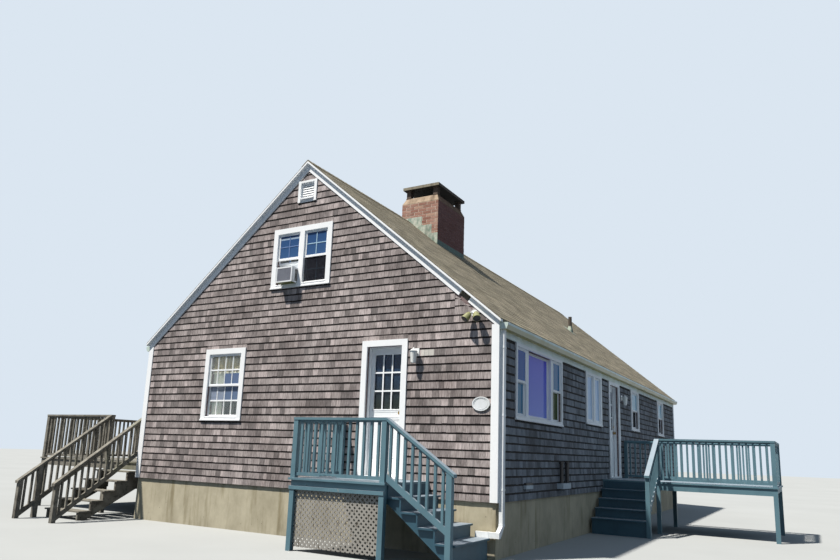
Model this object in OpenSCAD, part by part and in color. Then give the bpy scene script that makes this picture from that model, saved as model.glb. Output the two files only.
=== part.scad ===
// Shingled beach house with a steep gable roof, a brick chimney and three timber decks.
// X runs across the front gable, Y runs back into the house, Z is up from the ground.

/* [House] */
// Width over the corner boards
house_w = 7315; // [6600:5:8200]
// Length from the front gable wall to the rear gable wall
house_l = 13870; // [13400:10:15000]
// Thickness of the outside walls
wall_t = 150; // [120:5:200]
// Height at which the shingled walls start
wall_base = 750; // [650:10:850]
// Height of the top plate of the side walls
plate_z = 3060; // [3060:10:3120]
// Height of the main floor surface
floor_z = 980; // [940:10:1020]
// Height of the upper floor surface
upper_floor_z = 3250; // [3230:10:3280]
// Thickness of the foundation wall
foundation_t = 260; // [220:10:320]
// How far the foundation stands back from the wall face
foundation_inset = 20; // [10:5:40]

/* [Roof] */
// Rise of the roof for each millimetre of run
roof_pitch = 0.8333; // [0.80:0.005:0.88]
// Height of the roof surface straight above the face of the side walls
eave_z = 3316.5; // [3300:2:3340]
// Height of the roof edge past the walls, measured plumb
roof_edge = 39; // [34:1:46]
// Height of the shingle skin on that edge, measured plumb
roof_skin = 8; // [6:1:14]
// Height of the whole roof, measured plumb
roof_depth = 160; // [140:5:190]
// How far the skin reaches past the gable walls
rake_reach = 72; // [50:1:76]
// How far the skin reaches past the side walls
eave_reach = 63; // [50:1:90]
// Width of one ridge shingle on each slope
ridge_cap_w = 130; // [100:5:160]
// Thickness of the ridge shingles
ridge_cap_t = 10; // [6:1:15]

/* [Trim] */
// Thickness of the corner, rake and frieze boards
trim_t = 22; // [18:1:30]
// Width of a corner board
corner_board_w = 115; // [90:5:160]
// Width of the rake boards, measured square to the slope
rake_board_w = 105; // [90:5:130]
// Width of the short rake board below the missing piece
rake_end_w = 92; // [80:1:105]
// Height of the moulding over the rake boards, measured plumb
rake_moulding_h = 36; // [30:1:44]
// Height of the end of a rake board over the corner board
rake_tail_h = 60; // [40:1:90]
// How far the frieze reaches below the top plate
frieze_drop = 26; // [10:2:40]
// Where the missing piece of the right rake board starts, from the ridge
rake_gap_from = 3066; // [2600:2:3200]
// Length of the missing piece, measured level
rake_gap_w = 147; // [100:1:300]
// Width of the casings round windows and doors
casing_w = 95; // [70:5:110]
// Thickness of the casings
casing_t = 28; // [22:1:36]

/* [Gutters] */
// Depth of a gutter out from the frieze
gutter_w = 122; // [90:2:130]
// Height of a gutter
gutter_h = 94; // [70:2:130]
// Wall of the gutter sheet
gutter_t = 4; // [2:1:8]
// Drop from the roof edge to the top of the gutter
gutter_drop = 8; // [4:1:20]
// Width of the downspout
downspout_w = 76; // [60:2:90]
// Depth of the downspout
downspout_d = 54; // [44:2:70]
// Height at which the downspout turns along the ground
downspout_turn = 440; // [400:10:480]
// Length of the run of the downspout along the ground
downspout_run = 300; // [250:10:340]
// Gap between the run of the downspout and the stoop's steps
spout_clearance = 8; // [5:1:20]

/* [Chimney] */
// Where the left face of the chimney stands
chimney_x = -170; // [-260:10:-100]
// Width of the chimney across the house
chimney_w = 903; // [800:5:1000]
// Where the front face of the chimney stands
chimney_y = 3423; // [3200:10:3700]
// Depth of the chimney along the ridge
chimney_d = 1280; // [1100:10:1400]
// Height of the brickwork over the ridge
stack_h = 384; // [340:4:440]
// Height of the mortar wash
wash_h = 160; // [100:5:200]
// How far the wash draws in
wash_inset = 65; // [40:5:90]
// Height of the piers under the cap
pier_h = 190; // [150:5:240]
// Width of a pier
pier_w = 105; // [90:5:150]
// Thickness of the cap slab
cap_t = 62; // [45:1:80]
// How far the cap reaches past the wash
cap_reach = 62; // [40:2:80]
// Width of a flue
flue_w = 280; // [220:10:300]
// Thickness of the lead flashing
flashing_t = 4; // [3:1:8]
// Rise of one step of the flashing
flashing_step = 205; // [180:5:240]
// Height of the flashing over the roof on the sides of the stack
flashing_h = 110; // [90:5:140]
// Height of each step over the roof at its upper end
flashing_step_h = 130; // [100:5:160]
// How far from the ridge the first step turns down the slope
flashing_start = 80; // [20:5:140]

/* [Front window] */
// Centre of the lower front window
front_window_x = -1616; // [-1800:5:-1400]
// Width of its opening
front_window_w = 768; // [700:2:820]
// Height of its sill
front_window_sill = 1870; // [1830:5:1950]
// Height of its opening
front_window_h = 1112; // [1060:2:1116]

/* [Upper window] */
// Centre of the double window in the gable
upper_window_x = -38; // [-100:2:100]
// Width of each of its two units
upper_unit_w = 493; // [440:1:560]
// Height of its sill over the upper floor
upper_sill_h = 890; // [860:5:920]
// Height of its opening
upper_window_h = 923; // [860:1:960]
// Width of the post between two units
mullion_w = 100; // [80:2:120]

/* [Side windows] */
// Width of the casing over the side windows
side_head_casing = 50; // [44:1:60]
// Centre of the three-part window
picture_window_y = 1710; // [1600:2:1800]
// Width of its middle pane unit
picture_unit_w = 1040; // [900:10:1100]
// Width of the unit nearer the front
picture_near_w = 420; // [380:2:460]
// Width of the unit further back
picture_far_w = 400; // [360:2:440]
// Width of the casings down its sides
picture_casing_w = 55; // [50:1:95]
// Depth from the wall face to its middle unit
picture_setback = 55; // [0:1:60]
// Height of its sill
picture_sill = 1960; // [1900:10:2050]
// Centre of the double casement
casement_y = 4817; // [4700:5:4850]
// Width of each casement unit
casement_unit_w = 420; // [380:5:460]
// Height of the casement sill
casement_sill = 2090; // [2050:10:2200]
// Centre of the first single window behind the side door
near_window_y = 8470; // [8300:10:8600]
// Centre of the last single window
far_window_y = 11700; // [11500:10:12000]
// Width of the single side windows
side_window_w = 660; // [600:10:720]
// Height of the sills of the single side windows
side_window_sill = 2130; // [2080:10:2200]
// Centre of the rear windows, out from the middle
rear_window_x = 1616; // [1400:5:1800]

/* [Sashes] */
// Depth from the wall face to the outer sash
sash_setback = 0; // [0:1:20]
// Thickness of a sash
sash_t = 32; // [28:1:36]
// Width of the sash stiles and rails
sash_w = 32; // [26:1:50]
// Thickness of a glass pane
glass_t = 5; // [4:1:8]
// Depth from the face of a sash to its pane
pane_depth = 8; // [4:1:12]
// Height of the open gap under the raised sash
raised_sash_lift = 370; // [290:5:400]

/* [Doors] */
// Left edge of the gable doorway
gable_door_x = 1430; // [1400:5:1500]
// Width of the gable doorway
gable_door_w = 635; // [600:5:680]
// Near edge of the side doorway
side_door_y = 6070; // [5980:5:6200]
// Width of the side doorway
side_door_w = 740; // [700:5:800]
// Height of the doorways over the floor
door_h = 1985; // [1950:5:2004]
// Thickness of a door leaf
leaf_t = 45; // [38:1:50]
// Clearance between a leaf and its doorway
leaf_gap = 6; // [5:0.5:8]
// Width of the stiles of a leaf
stile_w = 72; // [60:2:90]
// Height of the bottom rail of a leaf
leaf_bottom_rail = 230; // [180:5:260]
// Height of the glass in a leaf
leaf_glass_h = 850; // [750:10:950]
// Diameter of a door knob
knob_d = 54; // [44:1:64]
// Height of a butt hinge
hinge_h = 90; // [75:5:110]
// Diameter of a hinge knuckle
hinge_d = 12; // [10:0.5:12]
// Near edge of the patio door on the left wall
patio_door_y = 1300; // [1200:50:1600]
// Width of the patio door
patio_door_w = 1780; // [1600:20:1900]
// Thickness of a doorway sill
sill_t = 32; // [24:1:40]

/* [Decks and stairs] */
// Width of the square posts
post_w = 76; // [70:1:100]
// Width of a handrail
rail_w = 89; // [70:1:100]
// Thickness of the rails
rail_t = 34; // [30:1:45]
// Width of the square balusters
baluster_w = 33; // [28:1:42]
// Height of the railings over the deck
railing_h = 832; // [800:2:920]
// Height of the bottom rail over the deck
rail_gap = 34; // [28:1:120]
// Height of a level bottom rail
low_rail_h = 46; // [38:1:64]
// Height of a sloping bottom rail, measured square to the slope
slope_rail_h = 78; // [60:1:90]
// Width of the rails under the handrails
rail_board = 58; // [50:1:80]
// How far a sloping handrail reaches past its newel
rail_end = 30; // [15:5:60]
// Thickness of the deck boards
board_t = 25; // [20:1:40]
// Height of the rim joists
rim_h = 80; // [70:2:90]
// Height of the beams under the rim joists
beam_h = 48; // [40:2:90]
// Thickness of the joists, beams and stringers
joist_t = 38; // [35:1:45]
// Thickness of a riser board
riser_t = 19; // [16:1:24]
// How far the stringers stand in from the ends of the treads
stringer_inset = 45; // [20:5:80]
// Rise of one stair step
step_rise = 170; // [160:1:180]
// Run of one stair step
step_run = 250; // [230:5:270]
// How far a tread reaches past its riser
nosing = 35; // [20:1:50]

/* [Front stoop] */
// Left edge of the stoop
stoop_x = 1030; // [1000:5:1150]
// Width of the stoop platform
stoop_w = 1570; // [1400:5:1600]
// Depth of the stoop from the wall
stoop_d = 1177; // [1100:1:1300]
// Height of the stoop surface
stoop_z = 970; // [950:5:975]
// Treads below the stoop surface
stoop_treads = 4; // [4:1:4]
// How far the bottom newel stands back from the foot of the steps
stoop_newel_inset = 53; // [20:1:100]
// Clear height of the lattice over the ground
lattice_z = 60; // [40:5:150]
// Width of a lattice strip
lattice_strip = 26; // [24:1:34]
// Spacing of the lattice strips
lattice_pitch = 54; // [50:1:70]
// Thickness of the lattice
lattice_t = 14; // [10:1:20]

/* [Side deck] */
// Near edge of the side deck
side_deck_y = 5400; // [5300:10:5500]
// Length of the side deck along the wall
side_deck_l = 1850; // [1750:10:2000]
// How far the side deck reaches from the wall
side_deck_w = 3150; // [3000:10:3300]
// Height of the side deck surface
side_deck_z = 970; // [950:5:975]
// Width of the stair of the side deck
side_stair_w = 1000; // [900:10:1100]
// Treads below the side deck surface
side_treads = 4; // [4:1:4]

/* [Left deck] */
// Near edge of the left deck
left_deck_y = 220; // [150:10:300]
// Length of the left deck along the wall
left_deck_l = 3700; // [3500:10:4500]
// How far the left deck reaches from the wall
left_deck_w = 3380; // [3200:10:3500]
// Height of the left deck surface
left_deck_z = 1010; // [990:5:1020]
// Height of the left deck railing
left_railing_h = 900; // [860:5:950]
// Height of the bottom rail over the stair of the left deck
left_stair_rail_gap = 200; // [190:5:260]
// Gap between the wall and the stair of the left deck
left_stair_gap = 230; // [200:5:300]
// Width of the stair of the left deck
left_stair_w = 990; // [900:10:1200]
// Run of one step of the left stair
left_step_run = 232; // [220:1:250]
// Treads below the left deck surface
left_treads = 5; // [5:1:5]
// How far the bottom newels of the left stair stand past the flight
newel_gap = 225; // [180:5:240]
// How far the post half way down stands from the bottom newel
mid_post_gap = 250; // [220:5:320]

/* [Fittings] */
// Width of the air conditioner
cooler_w = 345; // [320:5:380]
// Height of the air conditioner
cooler_h = 270; // [250:5:280]
// How far the air conditioner stands out from the wall
cooler_reach = 170; // [150:5:220]
// Length of the air conditioner inside the wall face
cooler_inside = 200; // [160:5:260]
// Height of the wall lanterns
lantern_h = 240; // [200:5:280]
// Width of the wall lanterns
lantern_w = 130; // [100:5:160]
// How far the lantern stands from the gable doorway
lantern_gap = 245; // [190:5:300]
// Height from the top of that lantern to the head of the doorway
lantern_drop = 60; // [20:5:100]
// How far the other lantern stands from the side doorway
side_lantern_gap = 320; // [240:5:400]
// How far the floodlight hangs under the rake
floodlight_drop = 70; // [60:2:120]
// How far the floodlight stands in from the corner
floodlight_inset = 371; // [340:1:420]
// How far the middle of the plaque stands in from the corner
plaque_inset = 244; // [240:1:320]
// Height of the middle of the plaque over the floor
plaque_z = 1090; // [1040:10:1140]
// Width of the house plaque
plaque_w = 272; // [220:2:276]
// Height of the house plaque
plaque_h = 200; // [170:5:220]
// Diameter of the roof vent pipe
vent_pipe_d = 90; // [75:5:110]
// Height of the roof vent pipe over the roof
vent_pipe_h = 380; // [300:10:420]
// How far the vent pipe stands out from the ridge
vent_pipe_x = 2050; // [1900:10:2200]
// How far back the vent pipe stands
vent_pipe_y = 8450; // [8250:10:8650]
// How far back the pair of pipes on the side wall starts
side_pipes_y = 2520; // [2400:10:2700]
// Spacing of the pair of pipes
side_pipe_pitch = 304; // [250:2:320]
// Diameter of the pair of pipes
side_pipe_d = 62; // [50:2:72]
// Height of the pair of pipes
side_pipe_h = 375; // [320:5:400]
// How far back the small cover on the side wall stands
cover_y = 983; // [900:1:1050]
// Length of that cover
cover_l = 290; // [240:5:320]

/* [Hidden] */
// Face-to-face clearance between pieces that seat on each other
seat = 0.3;
half_w = house_w / 2 - trim_t;
ridge_z = eave_z + roof_pitch * half_w;
wash_z = ridge_z + stack_h;
frieze_z = plate_z - frieze_drop;
side_head = frieze_z - side_head_casing;
front_window_head = front_window_sill + front_window_h;
upper_window_sill = upper_floor_z + upper_sill_h;
upper_window_head = upper_window_sill + upper_window_h;
door_head = floor_z + door_h;
inner_w = half_w - wall_t;
eave_x = half_w + eave_reach;
rake_secant = sqrt(1 + roof_pitch * roof_pitch);
rake_edge = roof_skin + rake_moulding_h;
rake_bottom = rake_edge + rake_board_w * rake_secant;
corner_top = roof_top(half_w + trim_t) - rake_edge - rake_tail_h;
chimney_x1 = chimney_x + chimney_w;
chimney_y1 = chimney_y + chimney_d;
pier_z = wash_z + wash_h;
cap_z = pier_z + pier_h;
flashing_lap = 15;
frieze_top = roof_top(half_w + trim_t) - roof_edge - seat;
gutter_top = roof_top(eave_x) - roof_edge - gutter_drop;
gutter_x = half_w + trim_t + seat;
gutter_lip = gutter_h * 0.38;
gutter_floor_w = gutter_w * 0.78;
window_bottom_casing = 62;
patio_middle = patio_door_y + patio_door_w / 2;
patio_lap = 35;
patio_leaf_t = 35;
patio_stile = 75;
patio_v = 40;
patio_z = left_deck_z + 20;
vent_w = 296;
vent_h = 296;
vent_head_casing = 36;
vent_apron_h = 62;
vent_casing = 54;
vent_frame = 20;
vent_sill_reach = 12;
vent_z = roof_top(vent_w / 2 + vent_casing) - rake_bottom - vent_head_casing - vent_h - 2;
louvre_count = 6;
louvre_t = 6;
louvre_depth = 26;
louvre_h = 52;
leaf_h = door_head - floor_z - sill_t - 2 * leaf_gap + 4;
leaf_z = floor_z + sill_t + leaf_gap - 2;
knob_z = leaf_z + 930;
knob_inset = 42;
door_stop = 14;
hinge_offset = 6.5;
hinge_plate_w = 30;
stoop_x1 = stoop_x + stoop_w;
side_deck_x = half_w;
side_deck_x1 = half_w + side_deck_w;
side_deck_y1 = side_deck_y + side_deck_l;
side_stair_x = side_deck_x + 40;
left_deck_x = -half_w;
left_deck_x1 = -half_w - left_deck_w;
left_deck_y1 = left_deck_y + left_deck_l;
left_stair_x1 = left_deck_x - left_stair_gap;
left_stair_x0 = left_stair_x1 - left_stair_w;
left_newel_y = left_deck_y - (left_treads + 1) * left_step_run - post_w - newel_gap;
deck_lip = 20;
rim_inset = 28;
platform_h = board_t + rim_h + beam_h;
baluster_pitch = 112;
stringer_drop = 330;
stringer_foot = 160;
closed_stringer_drop = 100;
closed_stringer_foot = 22;
stair_drop = step_rise / step_run;
spout_reach = trim_t + seat + downspout_d;
stoop_steps_w = stoop_d - post_w - spout_reach - spout_clearance;
lattice_inset = 60;
utility_z = wall_base + 110;
utility_h = 88;

// Corners of the whole house in plan, so that its middle can stand on the origin
x_low = left_deck_x1 - deck_lip;
x_high = side_deck_x1 + deck_lip;
y_low = left_newel_y - rail_end;
y_high = house_l + max(rake_reach, spout_reach);

// Each window: wall, middle along the wall, sill, head, unit widths, and whether the sashes slide
windows = [
    ["front", front_window_x, front_window_sill, front_window_head, [front_window_w], true],
    ["front", upper_window_x, upper_window_sill, upper_window_head, [upper_unit_w, upper_unit_w], true],
    ["right", picture_window_y, picture_sill, side_head, [picture_near_w, picture_unit_w, picture_far_w], true],
    ["right", casement_y, casement_sill, side_head, [casement_unit_w, casement_unit_w], false],
    ["right", near_window_y, side_window_sill, side_head, [side_window_w], true],
    ["right", far_window_y, side_window_sill, side_head, [side_window_w], true],
    ["left", casement_y + 300, casement_sill, side_head, [casement_unit_w, casement_unit_w], false],
    ["left", near_window_y, side_window_sill, side_head, [side_window_w], true],
    ["left", far_window_y, side_window_sill, side_head, [side_window_w], true],
    ["rear", -rear_window_x, front_window_sill, front_window_head, [front_window_w], true],
    ["rear", rear_window_x, front_window_sill, front_window_head, [front_window_w], true],
    ["rear", 0, upper_window_sill, upper_window_head, [upper_unit_w, upper_unit_w], true]
];

function roof_top(x) = ridge_z - roof_pitch * abs(x);
function roof_under(x) = roof_top(x) - roof_depth;
function total(list, i = 0) = i >= len(list) ? 0 : list[i] + total(list, i + 1);
function window_w(w) = total(w[4]) + mullion_w * (len(w[4]) - 1);
function unit_start(w, n, i = 0) = i >= n ? 0 : w[4][i] + mullion_w + unit_start(w, n, i + 1);

// Moves the house so that the middle of its plan stands on the origin
module place() {
    translate([-(x_low + x_high) / 2, -(y_low + y_high) / 2, 0])
        children();
}

// A box between two corners
module box(x0, x1, y0, y1, z0, z1) {
    translate([x0, y0, z0])
        cube([x1 - x0, y1 - y0, z1 - z0]);
}

// An outline in X and Z, drawn out from y0 to y1
module profile_xz(points, y0, y1) {
    translate([0, y1, 0])
        rotate([90, 0, 0])
            linear_extrude(y1 - y0)
                polygon(points);
}

// An outline in Y and Z, drawn out from x0 to x1
module profile_yz(points, x0, x1) {
    translate([x0, 0, 0])
        rotate([90, 0, 90])
            linear_extrude(x1 - x0)
                polygon(points);
}

// Puts pieces drawn against a wall, with X along it and Y into it, onto one of the four walls
module on_wall(wall) {
    if (wall == "front")
        children();
    if (wall == "right")
        translate([half_w, 0, 0])
            rotate([0, 0, 90])
                children();
    if (wall == "left")
        mirror([1, 0, 0])
            translate([half_w, 0, 0])
                rotate([0, 0, 90])
                    children();
    if (wall == "rear")
        translate([0, house_l, 0])
            rotate([0, 0, 180])
                children();
}

// The holes of every window on one wall
module window_holes(wall) {
    on_wall(wall)
        for (w = windows)
            if (w[0] == wall)
                box(w[1] - window_w(w) / 2, w[1] + window_w(w) / 2, -1, wall_t + 1, w[2], w[3]);
}

// The louvred vent opening in a gable
module vent_hole(wall) {
    on_wall(wall)
        box(-vent_w / 2, vent_w / 2, -1, wall_t + 1, vent_z, vent_z + vent_h);
}

module foundation() color("tan") place() {
    outer_x = half_w - foundation_inset;
    difference() {
        box(-outer_x, outer_x, foundation_inset, house_l - foundation_inset, 0, wall_base);
        box(-outer_x + foundation_t, outer_x - foundation_t, foundation_inset + foundation_t,
            house_l - foundation_inset - foundation_t, -1, wall_base + 1);
    }
}

module chimney_shaft(gap = seat) {
    box(chimney_x - gap, chimney_x1 + gap, chimney_y - gap, chimney_y1 + gap, -1, wash_z + 1);
}

module main_floor() color("burlywood") place()
    difference() {
        box(-inner_w + seat, inner_w - seat, wall_t + seat, house_l - wall_t - seat, wall_base, floor_z);
        chimney_shaft();
    }

module upper_floor() color("burlywood") place()
    difference() {
        profile_xz([
            [-half_w, plate_z],
            [half_w, plate_z],
            [half_w, roof_under(half_w) - seat],
            [(ridge_z - roof_depth - seat - upper_floor_z) / roof_pitch, upper_floor_z],
            [-(ridge_z - roof_depth - seat - upper_floor_z) / roof_pitch, upper_floor_z],
            [-half_w, roof_under(half_w) - seat]
        ], wall_t + seat, house_l - wall_t - seat);
        chimney_shaft();
    }

module front_wall_left() color("rosybrown") place()
    difference() {
        box(-half_w, gable_door_x, 0, wall_t, wall_base, plate_z);
        window_holes("front");
    }

module front_wall_right() color("rosybrown") place()
    box(gable_door_x + gable_door_w, half_w, 0, wall_t, wall_base, plate_z);

module gable_outline(y0, y1) {
    profile_xz([
        [-half_w, plate_z],
        [half_w, plate_z],
        [half_w, roof_under(half_w) - seat],
        [0, roof_under(0) - seat],
        [-half_w, roof_under(half_w) - seat]
    ], y0, y1);
}

module front_gable() color("rosybrown") place()
    difference() {
        gable_outline(0, wall_t);
        window_holes("front");
        vent_hole("front");
    }

module door_headers() color("rosybrown") place() {
    box(gable_door_x, gable_door_x + gable_door_w, 0, wall_t, door_head, plate_z);
    box(gable_door_x, gable_door_x + gable_door_w, 0, wall_t, wall_base, floor_z);
    box(half_w - wall_t, half_w, side_door_y, side_door_y + side_door_w, door_head, plate_z);
    box(half_w - wall_t, half_w, side_door_y, side_door_y + side_door_w, wall_base, floor_z);
}

module right_wall_front() color("slategray") place()
    difference() {
        box(inner_w, half_w, wall_t, side_door_y, wall_base, plate_z);
        window_holes("right");
    }

module right_wall_rear() color("slategray") place()
    difference() {
        box(inner_w, half_w, side_door_y + side_door_w, house_l - wall_t, wall_base, plate_z);
        window_holes("right");
    }

module left_wall() color("rosybrown") place()
    difference() {
        box(-half_w, -inner_w, wall_t, house_l - wall_t, wall_base, plate_z);
        window_holes("left");
        box(-half_w - 1, -inner_w + 1, patio_door_y, patio_door_y + patio_door_w, left_deck_z, door_head);
    }

module rear_wall() color("rosybrown") place()
    difference() {
        union() {
            box(-half_w, half_w, house_l - wall_t, house_l, wall_base, plate_z);
            gable_outline(house_l - wall_t, house_l);
        }
        window_holes("rear");
        vent_hole("rear");
    }

// One slope of the roof: the deep frame between the walls, its edge at the eaves and the skin past the rakes
module roof_slope() {
    difference() {
        union() {
            roof_layer(half_w, roof_depth, 0);
            roof_layer(eave_x, roof_edge, 0);
            roof_layer(eave_x, roof_skin, rake_reach);
        }
        children();
    }
}

// A layer under the surface of the right slope that reaches out to x, and past both rakes by reach
module roof_layer(x, depth, reach) {
    profile_xz([
        [0, roof_top(0)],
        [x, roof_top(x)],
        [x, roof_top(x) - depth],
        [0, roof_top(0) - depth]
    ], -reach, house_l + reach);
}

module roof_right() color("darkkhaki") place()
    roof_slope() {
        chimney_shaft();
        vent_pipe_solid(seat);
    }

module roof_left() color("darkkhaki") place()
    mirror([1, 0, 0])
        roof_slope()
            mirror([1, 0, 0])
                chimney_shaft();

module ridge_cap() color("darkkhaki") place()
    difference() {
        profile_xz([
            [0, roof_top(0) + ridge_cap_t],
            [ridge_cap_w, roof_top(ridge_cap_w) + ridge_cap_t],
            [ridge_cap_w, roof_top(ridge_cap_w) + seat],
            [0, roof_top(0) + seat],
            [-ridge_cap_w, roof_top(ridge_cap_w) + seat],
            [-ridge_cap_w, roof_top(ridge_cap_w) + ridge_cap_t]
        ], -rake_reach, house_l + rake_reach);
        box(chimney_x - flashing_t - 2 * seat, chimney_x1 + flashing_t + 2 * seat,
            chimney_y - flashing_t - 2 * seat, chimney_y1 + flashing_t + 2 * seat,
            ridge_z - 200, ridge_z + 200);
    }

// Two boards that meet at a corner, one on each wall
module corner_board_pair() {
    box(half_w + trim_t - corner_board_w, half_w + trim_t, -trim_t, 0, wall_base - 8, corner_top - seat);
    box(half_w, half_w + trim_t, 0, corner_board_w - trim_t, wall_base - 8, frieze_z);
}

module corner_boards() color("white") place()
    for (side = [0, 1])
        for (far = [0, 1])
            translate([0, far * house_l, 0])
                mirror([side, 0, 0])
                    mirror([0, far, 0])
                        corner_board_pair();

// The outline of a board under the roof between two distances from the ridge, measured along its top; an end
// is plumb, or square to the slope where its cut is 1
function rake_outline(from, to, top, drop, from_cut = 0, to_cut = 0) =
    let (lean = (drop - top) * roof_pitch / (rake_secant * rake_secant), x0 = from - from_cut * lean,
        x1 = to - to_cut * lean)
    [
        [from, roof_top(from) - top],
        [to, roof_top(to) - top],
        [x1, roof_top(x1) - drop],
        [x0, roof_top(x0) - drop]
    ];

// A rake board on the right half of a gable whose face is at Y = 0
module rake_board(from, to, w = rake_board_w, from_cut = 0, to_cut = 0) {
    profile_xz(rake_outline(from, to, rake_edge + seat, rake_edge + w * rake_secant, from_cut, to_cut),
        -trim_t, 0);
}

// The moulding that stands out over the rake boards under the edge of the roof
module rake_moulding() {
    profile_xz(rake_outline(seat, eave_x, roof_skin + seat, rake_edge), -rake_reach, -seat);
}

module rake_boards() color("white") place() {
    end_x = half_w + trim_t;
    rake_board(seat, rake_gap_from, to_cut = 1);
    difference() {
        rake_board(rake_gap_from + rake_gap_w, end_x, rake_end_w, from_cut = 1);
        corner_room();
    }
    for (far = [0, 1])
        for (side = [0, 1])
            translate([0, far * house_l, 0])
                mirror([0, far, 0])
                    mirror([side, 0, 0]) {
                        rake_moulding();
                        if (far == 1 || side == 1)
                            difference() {
                                rake_board(seat, end_x);
                                corner_room();
                            }
                    }
}

// The room that the top of a corner board takes out of the end of a rake board
module corner_room() {
    box(half_w + trim_t - corner_board_w - seat, half_w + trim_t + 1, -trim_t - 1, 1, plate_z - 300,
        corner_top);
}

module frieze_boards() color("white") place()
    for (side = [0, 1])
        mirror([side, 0, 0])
            box(half_w, half_w + trim_t, 0, house_l, frieze_z, frieze_top);

// The outline of a gutter, drawn in by inset on every side but the top
module gutter_outline(inset) {
    bottom = gutter_top - gutter_h + inset;
    polygon([
        [gutter_x + inset, gutter_top],
        [gutter_x + gutter_w - inset, gutter_top],
        [gutter_x + gutter_w - inset, gutter_top - gutter_lip],
        [gutter_x + gutter_floor_w - inset, bottom],
        [gutter_x + inset, bottom]
    ]);
}

// An open gutter along the side wall, closed at both ends
module gutter() {
    difference() {
        translate([0, house_l, 0])
            rotate([90, 0, 0])
                linear_extrude(house_l)
                    gutter_outline(0);
        translate([0, house_l - gutter_t, 1])
            rotate([90, 0, 0])
                linear_extrude(house_l - 2 * gutter_t)
                    gutter_outline(gutter_t);
    }
}

module gutters() color("whitesmoke") place()
    for (side = [0, 1])
        mirror([side, 0, 0])
            gutter();

// A downspout down the side wall by the corner, which turns round the corner and runs along the front
module downspout() {
    x0 = half_w + trim_t + seat;
    x1 = x0 + downspout_d;
    y0 = 30;
    y1 = y0 + downspout_w;
    front_y = -spout_reach;
    run_z = downspout_turn - 75;
    run_x = x1 - downspout_run - downspout_d;
    box(x0, x1, y0, y1, downspout_turn, gutter_top - gutter_h - seat);
    profile_yz([
        [y1, downspout_turn + 1],
        [y0, downspout_turn + 1],
        [front_y, run_z],
        [front_y, run_z - downspout_w],
        [front_y + downspout_d, run_z - downspout_w]
    ], x0, x1);
    difference() {
        box(run_x, x1, front_y, front_y + downspout_d, run_z - downspout_w, run_z);
        box(run_x - 1, run_x + 60, front_y + gutter_t, front_y + downspout_d - gutter_t,
            run_z - downspout_w + gutter_t, run_z - gutter_t);
    }
}

module downspouts() color("whitesmoke") place() {
    downspout();
    translate([0, house_l, 0])
        mirror([1, 0, 0])
            mirror([0, 1, 0])
                downspout();
}

module chimney() color("sienna") place()
    difference() {
        box(chimney_x, chimney_x1, chimney_y, chimney_y1, 0, wash_z);
        flues();
    }

// Two square flues, one behind the other
module flues() {
    middle_x = chimney_x + chimney_w / 2;
    for (i = [0.28, 0.72])
        translate([middle_x - flue_w / 2, chimney_y + chimney_d * i - flue_w / 2, wash_z - 1800])
            cube([flue_w, flue_w, 3000]);
}

module chimney_wash() color("tan") place() {
    difference() {
        hull() {
            box(chimney_x, chimney_x1, chimney_y, chimney_y1, wash_z, wash_z + 20);
            box(chimney_x + wash_inset, chimney_x1 - wash_inset, chimney_y + wash_inset,
                chimney_y1 - wash_inset, wash_z, pier_z);
        }
        flues();
    }
    for (x = [chimney_x + wash_inset, chimney_x1 - wash_inset - pier_w])
        for (y = [chimney_y + wash_inset, chimney_y1 - wash_inset - pier_w])
            box(x, x + pier_w, y, y + pier_w, pier_z - 1, cap_z);
}

module chimney_cap() color("dimgray") place() {
    inset = wash_inset - cap_reach;
    box(chimney_x + inset, chimney_x1 - inset, chimney_y + inset, chimney_y1 - inset, cap_z, cap_z + cap_t);
}

// Stepped lead on the front or rear of the stack; each step is level and turns down at the next
module flashing_front(y0) {
    run = flashing_step / roof_pitch;
    steps = ceil((chimney_x1 - flashing_start) / run);
    for (i = [0 : steps - 1])
        box(i == 0 ? chimney_x - flashing_t : flashing_start + i * run,
            min(chimney_x1 + flashing_t, flashing_start + (i + 1) * run + flashing_lap), y0, y0 + flashing_t,
            roof_top(chimney_x1) - 20, roof_top(flashing_start + i * run) + flashing_step_h);
}

module chimney_flashing() color("darkseagreen") place()
    difference() {
        union() {
            flashing_front(chimney_y - flashing_t - seat);
            flashing_front(chimney_y1 + seat);
            box(chimney_x1 + seat, chimney_x1 + flashing_t + seat, chimney_y - flashing_t - seat,
                chimney_y1 + flashing_t + seat, roof_top(chimney_x1) - 20, roof_top(chimney_x1) + flashing_h);
            box(chimney_x - flashing_t - seat, chimney_x - seat, chimney_y - flashing_t - seat,
                chimney_y1 + flashing_t + seat, roof_top(chimney_x) - 20, roof_top(chimney_x) + flashing_h);
        }
        for (side = [0, 1])
            mirror([side, 0, 0])
                profile_xz([
                    [0, roof_top(0) + seat],
                    [house_w, roof_top(house_w) + seat],
                    [house_w, 0],
                    [0, 0]
                ], 0, house_l);
        chimney_shaft();
    }

module vent_pipe_solid(gap = 0) {
    translate([vent_pipe_x, vent_pipe_y, roof_under(vent_pipe_x) - 60])
        cylinder(h = vent_pipe_h + roof_depth + 60, d = vent_pipe_d + 2 * gap, $fn = 48);
}

module vent_pipe() color("dimgray") place()
    difference() {
        vent_pipe_solid();
        translate([vent_pipe_x, vent_pipe_y, 0])
            cylinder(h = 9000, d = vent_pipe_d - 12, $fn = 48);
    }

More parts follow.
